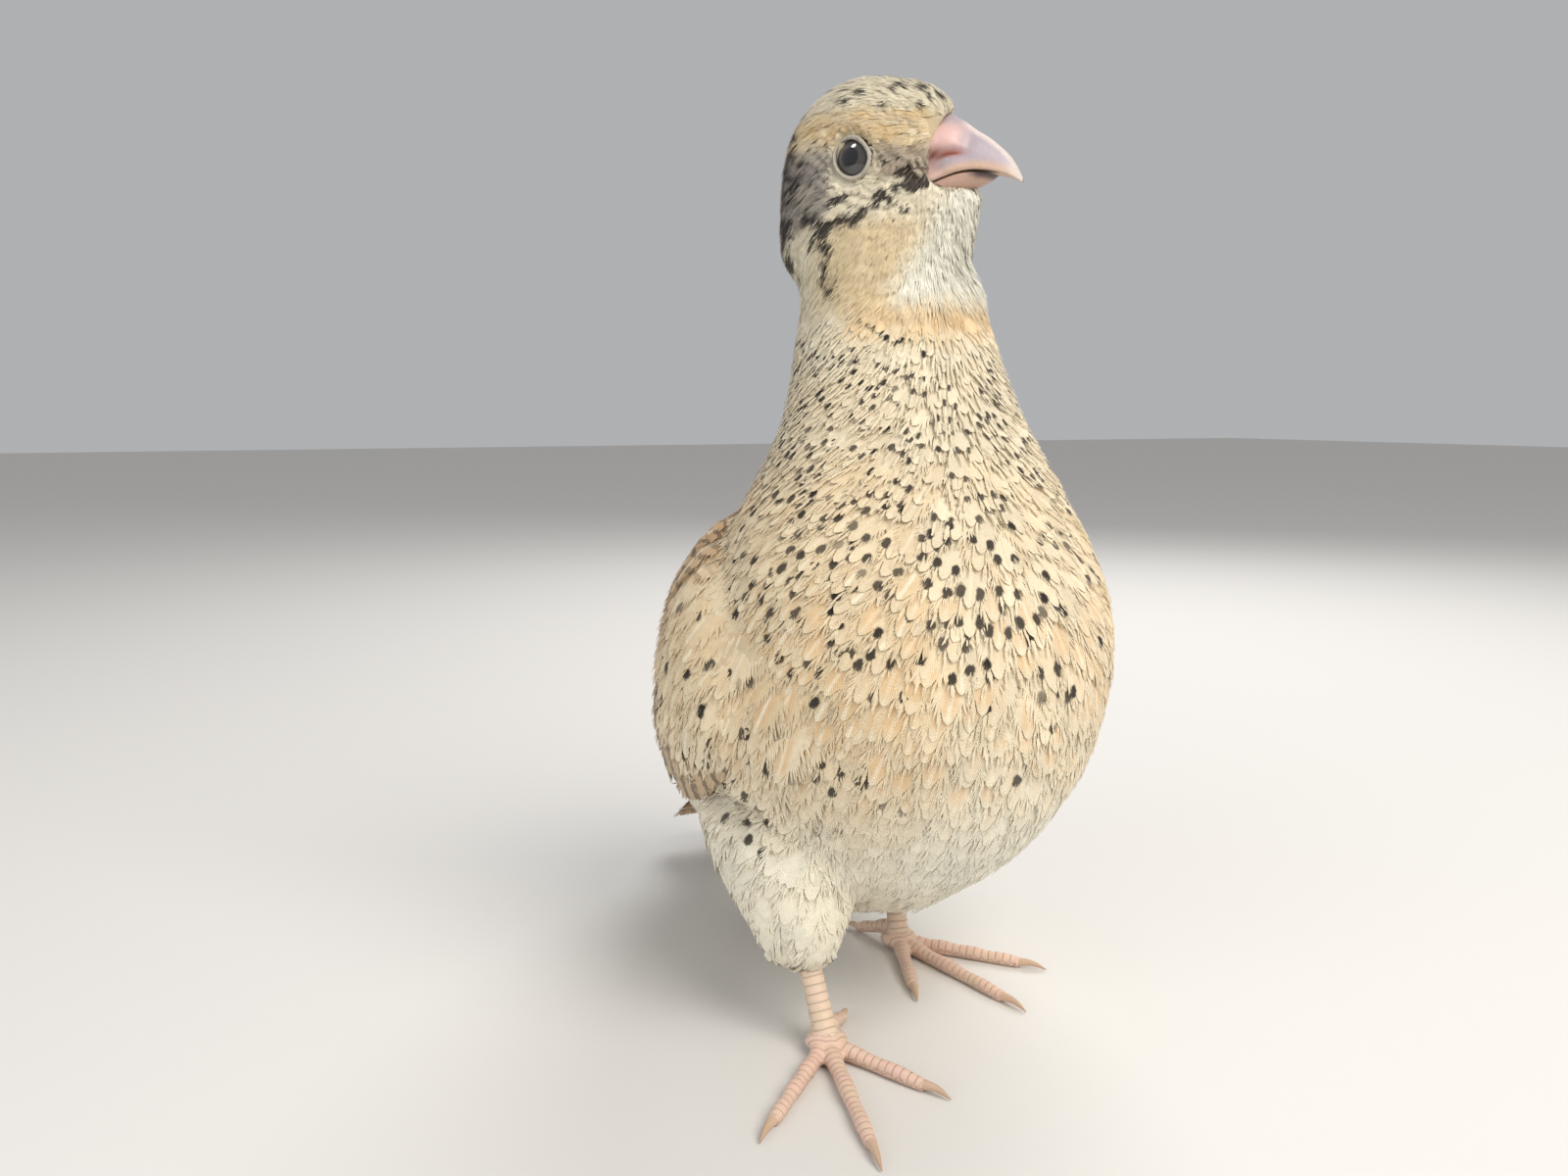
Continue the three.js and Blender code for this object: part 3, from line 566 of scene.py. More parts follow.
# %% Open skin
def body_place(points):
    """The station and the angle of the body's surface nearest to each point, the left side for both."""
    s, phi = np.meshgrid(np.linspace(0, 10, 161), np.linspace(0, math.pi, 97), indexing="ij")
    s, phi = s.ravel(), phi.ravel()
    table = KDTree(len(s))
    for i, p in enumerate(body_point(s, phi).tolist()):
        table.insert(p, i)
    table.balance()
    near = np.array([table.find((abs(x), y, z))[1] for x, y, z in points.tolist()])
    return s[near], phi[near]


root_at, root_normal = scatter(7, 150000)
f, l, z = head_frame(root_at)
bare_eye = (lid_share(f - EYE[0], z - EYE[2]) < 1.0) & (np.abs(l) > 6)
in_bill = (f > 7.8) & (z > 127.0) & (z < 136.2) & (np.abs(l) < 5.0 - 0.35 * (f - 8))
in_bill |= (f > 13.6) & (z > 127.2)
under_flap = (f > 7.8) & (f < 11.4) & (z > 128.5) & (z < 131.0)
in_bill &= ~under_flap
s, phi = body_place(root_at)
u = np.clip((s - WING_REAR) / (WING_FRONT - WING_REAR), 0, 1)
under_wing = (s < 6.2) & (s > 1.2) & (phi > 0.7) & (phi < 1.44 + 0.5 * u) & (z < 88)
open_skin = ~(bare_eye | in_bill | under_wing)
root_at, root_normal = root_at[open_skin], root_normal[open_skin]
root_s, root_phi, under_flap = s[open_skin], phi[open_skin], under_flap[open_skin]
print(len(root_at), "roots")

# %% [markdown]
# ## One feather
# A feather is a closed soft sheet, a little arched, with a shaft and a fringe of free barb ends, so that it
# covers what lies under it and its rim is soft. On the head it is a tuft of fine hairs over a small sheet. A
# template lies in a plane, x across from -1 to 1 and y from root to tip, and is laid on a curved sheet of
# 5 by 5 knots.

# %% Feather templates
KNOTS = 5


def outline(y, tip):
    """Half-width of a vane at a share of its length."""
    low_part = 0.5 + 0.5 * smooth(y, 0.0, 0.45)
    top_part = np.sqrt(np.clip(1 - (np.clip(y - tip, 0, 1) / (1.02 - tip)) ** 2, 0, 1))
    return low_part * top_part


def knot_weights(corners):
    """How much each knot of the sheet counts for each corner."""
    gx = np.clip((corners[:, 0] + 1.2) / 2.4 * (KNOTS - 1), 0, KNOTS - 1.001)
    gy = np.clip(corners[:, 1] / 1.05 * (KNOTS - 1), 0, KNOTS - 1.001)
    ix, iy = gx.astype(int), gy.astype(int)
    tx, ty = gx - ix, gy - iy
    weights = np.zeros((len(corners), KNOTS * KNOTS))
    row = np.arange(len(corners))
    for dx, wx in ((0, 1 - tx), (1, tx)):
        for dy, wy in ((0, 1 - ty), (1, ty)):
            weights[row, (iy + dy) * KNOTS + ix + dx] += wx * wy
    return weights


print("weights of a corner in the middle", knot_weights(np.array([[0.0, 0.5]])).max())

# %% [markdown]
# ## Sheets, barbs and tufts
# A body feather is a sheet with a shaft and a fringe of barbs. A tuft of the head is a few hairs over a small
# sheet. Both come from the same two makers, with other sizes.

# %% Sheets and barbs
def sheet(rng, rows, columns, tip, width, top, arch):
    """The closed part of a vane, its middle arched by so many millimetres."""
    yy, xx = np.meshgrid(np.linspace(0, top, rows), np.linspace(-1, 1, columns), indexing="ij")
    edge = outline(yy, tip) * width * (1 + rng.normal(0, 0.025, (rows, columns)))
    corners = np.stack([xx * edge, yy * (1 - 0.16 * xx**2 * yy), arch * (1 - xx**2)], -1)
    return corners.reshape(-1, 3), grid_faces(rows, columns)


def strips(start, end, wide, point, lift, bend=0.0):
    """Flat tapering strips of two parts from start to end points, each so wide at its foot."""
    corners = []
    for q, share in ((0.0, 1.0), (0.55, 0.85), (1.0, point)):
        middle = start + (end - start) * q
        middle[:, 0] += bend * q * (1 - q)
        way = end - start
        across = np.stack([-way[:, 1], way[:, 0]], 1)
        across = across / np.maximum(np.hypot(*across.T), 1e-6)[:, None] * (wide * share)[:, None]
        for sign in (-1, 1):
            corners.append(np.column_stack([middle + across * sign, lift * (0.4 + 0.6 * q)]))
    corners = np.stack(corners, 1)
    base = np.arange(len(start))[:, None, None] * 6
    faces = np.array([[0, 1, 3, 2], [2, 3, 5, 4]])[None] + base
    return corners.reshape(-1, 3), faces.reshape(-1, 4)


def joined(parts):
    points, faces = together(parts)
    return points, faces, knot_weights(points)


def soft_feather(seed, barbs, tip=0.35, width=0.84, top=0.96, loose=0.07,
                 rows=8, columns=5, arch=0.06, wide=0.035,
                 reach=0.17):
    """A body feather: sheet, shaft and fringe."""
    rng = np.random.default_rng(seed)
    shaft = strips(np.array([[0, 0.0]]), np.array([[0, 0.95]]), np.array([0.04]), 0.3,
                   np.array([arch + 0.06]))
    y0 = np.tile(0.22 + 0.72 * (np.arange(barbs) + rng.random(barbs) * 0.4) / barbs, 2)
    side = np.repeat([-1.0, 1.0], barbs)
    y1 = y0 + reach + rng.normal(0, loose * 0.4, 2 * barbs).clip(-0.05, 0.08)
    x1 = side * (outline(np.minimum(y1, 0.985), tip) * (1.0 + rng.normal(0.02, loose, 2 * barbs)))
    x0 = side * outline(y0, tip) * 0.5
    fringe = strips(np.stack([x0, y0], 1), np.stack([x1, y1], 1), np.full(2 * barbs, wide), 0.25,
                    np.full(2 * barbs, 0.05), 0.05)
    return joined([sheet(rng, rows, columns, tip, width, top, arch), shaft, fringe])


def tuft(seed, hairs, width=0.6, wide=0.075, spread=1.05):
    """Fine hairs over a small sheet, for the head."""
    rng = np.random.default_rng(seed)
    x = np.linspace(-1, 1, hairs) + rng.normal(0, 0.1, hairs)
    start = np.stack([x * 0.45, rng.uniform(0.0, 0.4, hairs)], 1)
    end = np.stack([x * spread, 1.0 - 0.22 * x**2 - rng.uniform(0, 0.2, hairs)], 1)
    lift = rng.uniform(0.02, 0.24, hairs)
    under = sheet(rng, 4, 3, 0.3, width, 0.62, 0.05)
    return joined([under, strips(start, end, np.full(hairs, wide), 0.2, lift)])


KNOT_X = np.linspace(-1.2, 1.2, KNOTS)
KNOT_Y = np.linspace(0, 1.05, KNOTS)
print("knots", KNOT_X.round(2), KNOT_Y.round(2))

# %% [markdown]
# ## Laying feathers on the skin
# A shaft walks over the skin from its root in small steps and follows the lie of the plumage. The knots to
# its sides are laid on the skin as well. The root is sunk and the tip stands off, so each feather covers the
# roots of the ones behind it.

# %% Laying
def lay_on_skin(root, normal, length, half, sunk, raised, yaw):
    """Knots (feathers, 25, 3) and their normals."""
    count = len(root)
    at, up = root.copy(), normal.copy()
    knots = np.zeros((count, KNOTS, KNOTS, 3))
    ups = np.zeros_like(knots)
    step = (length / (KNOTS - 1) * 1.05)[:, None]
    for j in range(KNOTS):
        way = lie_at(at, up)
        side = np.cross(way, up)
        way = way * np.cos(yaw)[:, None] + side * np.sin(yaw)[:, None]
        side = np.cross(way, up)
        spots = at[:, None, :] + side[:, None, :] * (KNOT_X[None, :, None] * half[:, None, None])
        on, on_up = on_skin(spots)
        lift = sunk + (raised - sunk) * KNOT_Y[j] ** 0.7
        knots[:, j] = on + on_up * lift[:, None, None]
        ups[:, j] = on_up
        if j < KNOTS - 1:
            at, up = on_skin(at + way * step)
    return knots.reshape(count, -1, 3), ups.reshape(count, -1, 3)


print("knots per feather", KNOTS * KNOTS)

# %% [markdown]
# ## Unwrap and assembly
# Each feather is a small patch at its root's place on an unwrap of the skin. The pieces are put together from
# the templates by weights, with the attributes that the material reads.

# %% Unwrap and coat maker
def unwrap(p, normal):
    """A place on the skin's own unwrap: six flat charts by facing, for the head and for the body."""
    axis = np.abs(normal).argmax(-1)
    plus = np.take_along_axis(normal, axis[..., None], -1)[..., 0] > 0
    other = np.array([[1, 2], [0, 2], [0, 1]])[axis]
    a = np.take_along_axis(p, other[..., :1], -1)[..., 0]
    b = np.take_along_axis(p, other[..., 1:], -1)[..., 0]
    chart = axis * 2 + plus + 6 * (p[..., 2] > 112)
    u = (chart % 4 + 0.05 + 0.9 * (a + 60) / 150) / 4
    v = (chart // 4 + 0.05 + 0.9 * (b + 60) / 210) / 3
    return np.stack([u, v], -1)


def coat(name, knots, ups, kinds, pick, base, pattern, centre, chance, root, normal):
    """One coat piece from feathers on their knots. kinds is a list of templates, pick the one of each."""
    points, faces, lie, tint, marks, mids, uvs, start = [], [], [], [], [], [], [], 0
    patch = unwrap(root, normal)
    for kind, (corners, quads, weights) in enumerate(kinds):
        mine = np.nonzero(pick == kind)[0]
        if not len(mine):
            continue
        m, n = len(mine), len(corners)
        p = weights @ knots[mine] + (weights @ ups[mine]) * corners[None, :, 2:3]
        points.append(p.reshape(-1, 3))
        faces.append((quads[None] + (np.arange(m) * n)[:, None, None] + start).reshape(-1, 4))
        one = np.ones((m, n, 1))
        lie.append(np.concatenate([corners[None, :, :2] * one, chance[mine][:, None, None] * one],
                                  2).reshape(-1, 3))
        for store, values in ((tint, base), (marks, pattern)):
            store.append((values[mine][:, None, :] * one).reshape(-1, 3))
        mids.append(np.repeat(centre[mine], n))
        flat = np.clip(corners[:, :2] * [0.5, 1] - [0, 0.5], -0.5, 0.5) * 0.003
        uv = patch[mine][:, None, :] + flat[None]
        uvs.append(uv[:, quads.ravel()].reshape(-1, 2))
        start += m * n
    return make_mesh(name, np.concatenate(points), np.concatenate(faces),
                     {"lie": np.concatenate(lie), "ground": np.concatenate(tint),
                      "pattern": np.concatenate(marks), "centre": np.concatenate(mids)},
                     np.concatenate(uvs))


print("unwrap of the crown", unwrap(np.array([[0.0, 0, 143]]), np.array([[0.0, 0, 1]])).round(3))

# %% [markdown]
# ## The coat
# Sizes depend on the place: a feather of the breast is about 12 mm long, a tuft of the face 3 mm. A feather
# takes its colours from the place where its outer half lies. The coat is made in several pieces, so that
# none is too heavy.

# %% Coat
rng = np.random.default_rng(11)
count = len(root_at)
chance = rng.random(count)
f, l, z = head_frame(root_at)
on_head = smooth(z, 106, 118)
face = smooth(f, -2, 7) * smooth(z, 118, 124)
fluff = smooth(-z, -30, -18)
length = 13.5 - 3.5 * smooth(z, 72, 94) - 5.8 * on_head - 1.1 * face - 1.0 * fluff
length = length * rng.normal(1, 0.07, count).clip(0.82, 1.18)
by_eye = np.where(np.abs(l) > 6, lid_share(f - EYE[0], z - EYE[2]), 9.0)
length = np.minimum(length, 0.8 + 2.6 * (by_eye - 1))
half = 3.4 - 1.4 * smooth(z, 74, 98) - 1.15 * on_head - 0.15 * face - 0.9 * fluff
raised = (coat_depth(root_at) * smooth(by_eye, 0.7, 1.7) + rng.normal(0, 0.045, count)
          + 2.4 * fluff * rng.random(count))
over_wing = smooth(root_s, 6.15, 6.5) * smooth(-root_s, -8.2, -7.2)
over_wing = over_wing * smooth(root_phi, 0.6, 0.9) * smooth(-root_phi, -2.3, -2.0)
raised = raised + 2.5 * over_wing
flank = smooth(np.abs(root_at[:, 0]), 18, 25)
flank = flank * smooth(z, 22, 32) * smooth(-z, -66, -54) * smooth(root_at[:, 1], -16, -4)
length, raised = length + 4.5 * flank, raised + 1.3 * flank
chin = smooth(f, 9, 12) * smooth(-z, -127, -124) * smooth(z, 112, 118)
raised = raised + chin * rng.uniform(0.1, 0.9, count) + 0.7 * under_flap
length = length - 1.0 * under_flap
sunk = -0.35 + 0.25 * on_head
yaw = rng.normal(0, 0.08, count) + rng.normal(0, 0.1, count) * on_head
knots, ups = lay_on_skin(root_at, root_normal, length, half, sunk, raised, yaw)
outer = np.where(on_head > 0.5, 12, 17)
at = knots[np.arange(count), outer]
base, pattern, centre = zones(at, ups[np.arange(count), outer], chance)
base = base * rng.normal(1, 0.045, (count, 1)).clip(0.87, 1.13)

TUFTS = [tuft(20 + k, 14) for k in range(5)]
NECK_KINDS = [soft_feather(30 + k, 13, tip=0.3, width=0.6, top=0.82, loose=0.2, wide=0.06, reach=0.26)
              for k in range(4)]
BODY_KINDS = [soft_feather(40 + k, 18) for k in range(4)]
FLUFF = [soft_feather(60 + k, 14, tip=0.2, width=0.5, top=0.75, loose=0.24, wide=0.05, reach=0.3)
         for k in range(4)]
kind = rng.integers(0, 4, count)
low = z < 24
regions = {
    "coat_face": ((z >= 111) & (f >= 2), TUFTS),
    "coat_head": ((z >= 111) & (f < 2), TUFTS),
    "coat_neck": ((z < 111) & (z >= 86), NECK_KINDS),
    "coat_front": ((z < 86) & ~low & (root_at[:, 1] < -8), BODY_KINDS),
    "coat_rear": ((z < 86) & ~low & (root_at[:, 1] >= -8), BODY_KINDS),
    "coat_low": (low, FLUFF),
}
coats = []
for name, (mine, kinds) in regions.items():
    piece = coat(name, knots[mine], ups[mine], kinds, kind[mine], base[mine], pattern[mine],
                 centre[mine], chance[mine], root_at[mine], root_normal[mine])
    coats.append(piece)
    print(name, int(mine.sum()), "feathers,", 2 * len(piece.data.polygons), "triangles")

# %% [markdown]
# ## The skin itself
# It shows only between feathers. It carries the same ground colours at 0.7 of their brightness, as painted
# shade for the gaps between feathers, and has no markings of single feathers.

# %% Skin piece
skin_chance = np.full(len(skin_at), 0.999)
skin_base, skin_pattern, _ = zones(skin_at, skin_normal, skin_chance)
skin_uv = unwrap(skin_at[skin_quads], np.repeat(face_normal[:, None], 4, 1)).reshape(-1, 2)
# The ground colours at 0.7 are painted shade where the skin shows in the gaps between feathers.
skin = make_mesh("skin", skin_at, skin_quads,
                 {"lie": np.stack([np.full(len(skin_at), 0.5)] * 3, 1), "ground": skin_base * 0.7,
                  "pattern": skin_pattern * 0, "centre": np.zeros(len(skin_at))}, skin_uv)
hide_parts(*FLESH)
coats.append(skin)
print("skin has", len(skin.data.polygons), "quads")

# %% [markdown]
# ## Material helpers
# Small helpers keep the node trees short. The plumage's masks and colours are worked out in a node group, and
# each material has its own shader.

# %% Material helpers
def put(tree, socket, value):
    """A socket takes another socket's output, a colour array or a plain number."""
    if isinstance(value, bpy.types.NodeSocket):
        tree.links.new(value, socket)
    elif isinstance(value, np.ndarray):
        socket.default_value = (*value.tolist(), 1)
    else:
        socket.default_value = value


def calc(tree, kind, *values):
    node = tree.nodes.new("ShaderNodeMath")
    node.operation = kind
    for socket, value in zip(node.inputs, values):
        put(tree, socket, value)
    return node.outputs[0]


def ease(tree, value, low, high):
    node = tree.nodes.new("ShaderNodeMapRange")
    node.interpolation_type = "SMOOTHSTEP"
    put(tree, node.inputs["Value"], value)
    node.inputs["From Min"].default_value = low
    node.inputs["From Max"].default_value = high
    return node.outputs["Result"]


def both(tree, *values):
    """The product of several masks."""
    out = values[0]
    for value in values[1:]:
        out = calc(tree, "MULTIPLY", out, value)
    return out


def without(tree, value):
    return calc(tree, "SUBTRACT", 1.0, value)


def mix(tree, share, a, b):
    node = tree.nodes.new("ShaderNodeMix")
    node.data_type = "RGBA"
    put(tree, node.inputs[0], share)
    put(tree, node.inputs[6], a)
    put(tree, node.inputs[7], b)
    return node.outputs[2]


def shade(tree, colour, factor):
    """A colour times a number."""
    node = tree.nodes.new("ShaderNodeVectorMath")
    node.operation = "SCALE"
    put(tree, node.inputs[0], colour)
    put(tree, node.inputs["Scale"], factor)
    return node.outputs[0]


def split(tree, vector):
    node = tree.nodes.new("ShaderNodeSeparateXYZ")
    put(tree, node.inputs[0], vector)
    return node.outputs[0], node.outputs[1], node.outputs[2]


print("number helpers ready")

# %% [markdown]
# ## Inputs and frames of materials
# Noise in the bird's own space, the attributes of the meshes, new materials, bumps and node groups.

# %% Material inputs
def noise(tree, scale, detail=2.0):
    """Noise over the bird's own space, at so many waves a metre."""
    where = tree.nodes.new("ShaderNodeTexCoord")
    node = tree.nodes.new("ShaderNodeTexNoise")
    node.inputs["Scale"].default_value = scale
    node.inputs["Detail"].default_value = detail
    tree.links.new(where.outputs["Object"], node.inputs["Vector"])
    return node.outputs[0]


def attribute(tree, key, output="Vector"):
    node = tree.nodes.new("ShaderNodeAttribute")
    node.attribute_name = key
    return node.outputs[output]


def new_material(name):
    material = bpy.data.materials.new(name)
    material.use_nodes = True
    return material, material.node_tree, material.node_tree.nodes["Principled BSDF"]


def bumped(tree, shader, height, strength, distance):
    node = tree.nodes.new("ShaderNodeBump")
    node.inputs["Strength"].default_value = strength
    node.inputs["Distance"].default_value = distance
    put(tree, node.inputs["Height"], height)
    tree.links.new(node.outputs[0], shader.inputs["Normal"])


def new_group(name, given, result):
    """A node group with named inputs and outputs."""
    group = bpy.data.node_groups.new(name, "ShaderNodeTree")
    for key, kind in given.items():
        group.interface.new_socket(key, in_out="INPUT", socket_type="NodeSocket" + kind)
    for key, kind in result.items():
        group.interface.new_socket(key, in_out="OUTPUT", socket_type="NodeSocket" + kind)
    return group, group.nodes.new("NodeGroupInput").outputs, group.nodes.new("NodeGroupOutput").inputs


print("helpers ready")

# %% [markdown]
# ## Markings of a feather
# One group draws every feather of the bird. It reads the place on the feather (across, along and the
# feather's own chance) and the strengths of the markings: barbs, twin dark spots near the tip, a tan centre,
# bars, a pale shaft streak and a pale rim.

# %% Plumage material
markings, given, result = new_group(
    "markings", {"Ground": "Color", "Lie": "Vector", "Pattern": "Vector", "Centre": "Float"},
    {"Colour": "Color", "Height": "Float"})
across, along, chance_of = split(markings, given["Lie"])
spots, streak, bars = split(markings, given["Pattern"])
aside = calc(markings, "ABSOLUTE", across)
grain = noise(markings, 900)
phase = calc(markings, "MULTIPLY", chance_of, 40.0)
barb_wave = calc(markings, "SINE", calc(markings, "ADD", phase, calc(
    markings, "ADD", calc(markings, "MULTIPLY", along, 190.0), calc(markings, "MULTIPLY", aside, -80.0))))
barb_wave = calc(markings, "MULTIPLY_ADD", barb_wave, 0.5, 0.5)
wobble = calc(markings, "MULTIPLY_ADD", grain, 0.9, -0.45)
u = calc(markings, "MULTIPLY", calc(markings, "SUBTRACT", aside, 0.43), 3.4)
v = calc(markings, "MULTIPLY", calc(markings, "SUBTRACT", along, 0.80), 10.0)
spot_distance = calc(markings, "ADD", wobble, calc(markings, "SQRT", calc(
    markings, "ADD", both(markings, u, u), both(markings, v, v))))
on_left = calc(markings, "GREATER_THAN", across, 0.0)
kept_spot = calc(markings, "ADD", both(markings, on_left, ease(markings, chance_of, 0.25, 0.3)), both(
    markings, without(markings, on_left), without(markings, ease(markings, chance_of, 0.7, 0.75))))
spot = both(markings, spots, kept_spot, without(markings, ease(markings, spot_distance, 0.5, 0.85)))
shaft_mask = both(markings, streak, without(markings, ease(markings, aside, 0.04, 0.12)),
                  ease(markings, along, 0.05, 0.3))
middle_mask = both(markings, given["Centre"], without(markings, ease(markings, aside, 0.12, 0.5)),
                   ease(markings, along, 0.25, 0.5), without(markings, ease(markings, along, 0.78, 0.95)))
bar_wave = calc(markings, "SINE", calc(markings, "ADD", phase, calc(
    markings, "ADD", calc(markings, "MULTIPLY", along, 34.0), calc(
        markings, "ADD", calc(markings, "MULTIPLY", aside, 2.4), calc(markings, "MULTIPLY", wobble, 5.0)))))
bar = both(markings, bars, ease(markings, bar_wave, 0.25, 0.7), ease(markings, along, 0.1, 0.3))
rim = ease(markings, calc(markings, "MAXIMUM", aside, along), 0.86, 0.98)
colour = mix(markings, calc(markings, "MULTIPLY", rim, 0.1), given["Ground"], CREAM)
colour = mix(markings, middle_mask, colour, TAN)
colour = mix(markings, calc(markings, "MULTIPLY", bar, 0.7), colour, tone(0.33, 0.27, 0.22))
colour = mix(markings, spot, colour, tone(0.17, 0.14, 0.12))
colour = mix(markings, calc(markings, "MULTIPLY", shaft_mask, 0.9), colour, tone(0.96, 0.92, 0.82))
lightness = calc(markings, "MULTIPLY_ADD", barb_wave, 0.24, 0.84)
lightness = both(markings, lightness, calc(markings, "MULTIPLY_ADD", grain, 0.24, 0.88))
put(markings, result["Colour"], shade(markings, colour, lightness))
put(markings, result["Height"], barb_wave)

# %% [markdown]
# ## Two plumage materials
# Down and flight feathers share the markings and differ in roughness.

# %% Soft and stiff plumage
def plumage_material(name, roughness):
    material, tree, shader = new_material(name)
    group = tree.nodes.new("ShaderNodeGroup")
    group.node_tree = markings
    put(tree, group.inputs["Ground"], attribute(tree, "ground", "Color"))
    put(tree, group.inputs["Lie"], attribute(tree, "lie"))
    put(tree, group.inputs["Pattern"], attribute(tree, "pattern"))
    put(tree, group.inputs["Centre"], attribute(tree, "centre", "Fac"))
    put(tree, shader.inputs["Base Color"], group.outputs["Colour"])
    shader.inputs["Roughness"].default_value = roughness
    shader.inputs["Specular IOR Level"].default_value = 0.25
    shader.inputs["Sheen Weight"].default_value = 0.12
    shader.inputs["Sheen Roughness"].default_value = 0.5
    bumped(tree, shader, group.outputs["Height"], 0.35, 0.0001)
    return material


down, stiff = plumage_material("plumage_soft", 0.85), plumage_material("plumage_stiff", 0.6)
for piece in coats:
    piece.data.materials.append(down)
print("markings group has", len(markings.nodes), "nodes")

# %% [markdown]
# ## Wings and tail
# Flight feathers, coverts and scapulars lie in the same tiers as in the solids, at the same places, with more
# vanes and finer ones. A stiff vane is a closed blade with a shaft and a fringe of barbs.

# %% Stiff feathers
# count, roots and tips of the lowest and highest vane (station, angle, height), half-width, tilt
WING_TIERS = [
    (4, [[3.3, 1.3, 0.9], [3.3, 1.2, 1.2]], [[0.7, 1.1, 1.5], [1.5, 1.0, 3.2]], 3.3, 0.1),
    (6, [[5.0, 1.72, 1.1], [4.9, 0.8, 1.3]], [[2.7, 1.58, 2.0], [1.7, 0.72, 3.0]], 4.6, 0.6),
    (7, [[5.9, 1.92, 1.5], [5.8, 0.98, 1.7]], [[4.4, 1.8, 3.1], [3.9, 0.9, 3.5]], 4.0, 0.6),
    (6, [[6.5, 1.9, 1.8], [6.4, 1.04, 1.9]], [[5.4, 1.86, 3.6], [5.0, 0.96, 4.0]], 3.9, 0.6),
    (5, [[6.7, 0.82, 1.0], [4.6, 0.74, 0.9]], [[5.2, 0.68, 4.0], [2.5, 0.52, 4.0]], 4.0, 0.1)]
TAIL_TIERS = [(10, 2, 21, 3.1, -0.9, 2.4), (5, 0, 11.5, 3.2, 1.6, 1.2), (5, 1, 12.5, 3.2, -3.2, 0.9)]


def blade(seed, rows=16, columns=9, tip=0.72, barbs=30):
    """A closed vane with a shaft ridge and a fringe: corners, faces and knot weights."""
    rng = np.random.default_rng(seed)
    corners, faces = sheet(rng, rows, columns, tip, 0.98, 0.985, 0.0)
    corners[:, 2] = 0.12 * np.exp(-((corners[:, 0] / 0.1) ** 2))
    fringe = soft_feather(seed + 500, barbs, tip=tip, loose=0.04, rows=2, columns=2, arch=0.0,
                          wide=0.02, reach=0.1)
    return joined([(corners, faces), (fringe[0][4:], fringe[1][1:] - 4)])


def feathers_in_tiers(name, place_list, chance, base, pattern, kinds):
    """One piece from vanes given by functions of share along and millimetres across."""
    rng = np.random.default_rng(len(name))
    knots, ups, roots, normals = [], [], [], []
    for place, half in place_list:
        grid = np.array([[place(t, x * half, 0.0) for x in KNOT_X] for t in KNOT_Y])
        over = np.array([[place(t, x * half, 1.0) for x in KNOT_X] for t in KNOT_Y])
        knots.append(grid.reshape(-1, 3))
        ups.append((over - grid).reshape(-1, 3))
        roots.append(grid[1, 2])
        normals.append((over - grid)[1, 2])
    pick = rng.integers(0, len(kinds), len(knots))
    return coat(name, np.array(knots), np.array(ups), kinds, pick, base, pattern,
                np.zeros(len(knots)), chance, np.array(roots), unit(np.array(normals)))


print(sum(tier[0] for tier in WING_TIERS), "vanes to a wing of the solids")

# %% [markdown]
# ## Places of the vanes
# A vane of the wing lies on the body's surface, its width measured across its shaft. A vane of the tail is a
# fan from the rump.

# %% Places of vanes
def on_body(root, tip, tilt, side):
    way_s, way_phi = tip[0] - root[0], tip[1] - root[1]

    def place(t, across, height):
        s, phi = root[0] + way_s * t, root[1] + way_phi * t
        slope_s, slope_phi, normal = body_slopes(s, phi)
        shaft = unit(slope_s * way_s + slope_phi * way_phi)
        cross = np.cross(normal, shaft)
        ss, sp, pp = slope_s @ slope_s, slope_s @ slope_phi, slope_phi @ slope_phi
        cs, cp = cross @ slope_s, cross @ slope_phi
        scale = 1 / (ss * pp - sp * sp)
        step_s, step_phi = (cs * pp - cp * sp) * scale, (cp * ss - cs * sp) * scale
        lean = tilt * np.sign(step_phi) * np.clip(across / 3.5, -1.3, 1.3) * min(1, 2 * t)
        lift = root[2] + (tip[2] - root[2]) * t + lean + height
        return body_at(s + step_s * across, phi + step_phi * across, lift) * np.array([side, 1, 1])

    return place


def on_tail(aside, start, end, layer):
    def place(t, across, height):
        reach = start + (end - start) * t - 1.6 * aside**2 * t
        spread = 8.5 * aside * (0.45 + 0.55 * reach / 21)
        return np.array([spread + across, 55 + reach * 0.82,
                         21 - reach * 0.57 - 2.2 * aside**2 + layer + height - 0.035 * across**2])

    return place


print("a tail vane ends at", on_tail(0, 2, 21, 0)(1.0, 0.0, 0.0).round(1))

# %% [markdown]
# ## Wings and tail made
# Each tier gets half as many vanes again as in the solids, and each vane its own small shift, tint and marks.

# %% Wings and tail
BLADES = [blade(80 + k) for k in range(4)]
rng = np.random.default_rng(23)
for side, word in ((1, "left"), (-1, "right")):
    places, tints, marks = [], [], []
    for tier, (count, roots, tips, half, tilt) in enumerate(WING_TIERS):
        many = round(count * (1.5 if tier else 1.75))
        for share in np.linspace(0, 1, many):
            root = np.array(roots[0]) + (np.array(roots[1]) - np.array(roots[0])) * share
            tip = np.array(tips[0]) + (np.array(tips[1]) - np.array(tips[0])) * share
            tip[:2] += rng.normal(0, [0.04, 0.012])
            tip[2] += 0.25 * share
            places.append((on_body(root, tip, tilt, side), half * rng.uniform(0.86, 1.0)))
            brown = tone(0.68, 0.59, 0.48) if tier == 0 else tone(0.78, 0.68, 0.54)
            tints.append(brown * rng.normal(1, 0.06))
            marks.append((0.0, 0.25 if tier < 2 else 0.9 * (rng.random() < 0.7), 0.75 if tier == 0 else 1.0))
    wing = feathers_in_tiers("feathers_wing_" + word, places, rng.random(len(places)), np.array(tints),
                             np.array(marks), BLADES)
    wing.data.materials.append(stiff)
    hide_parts("wing_" + word)
    print(wing.name, len(places), "vanes")

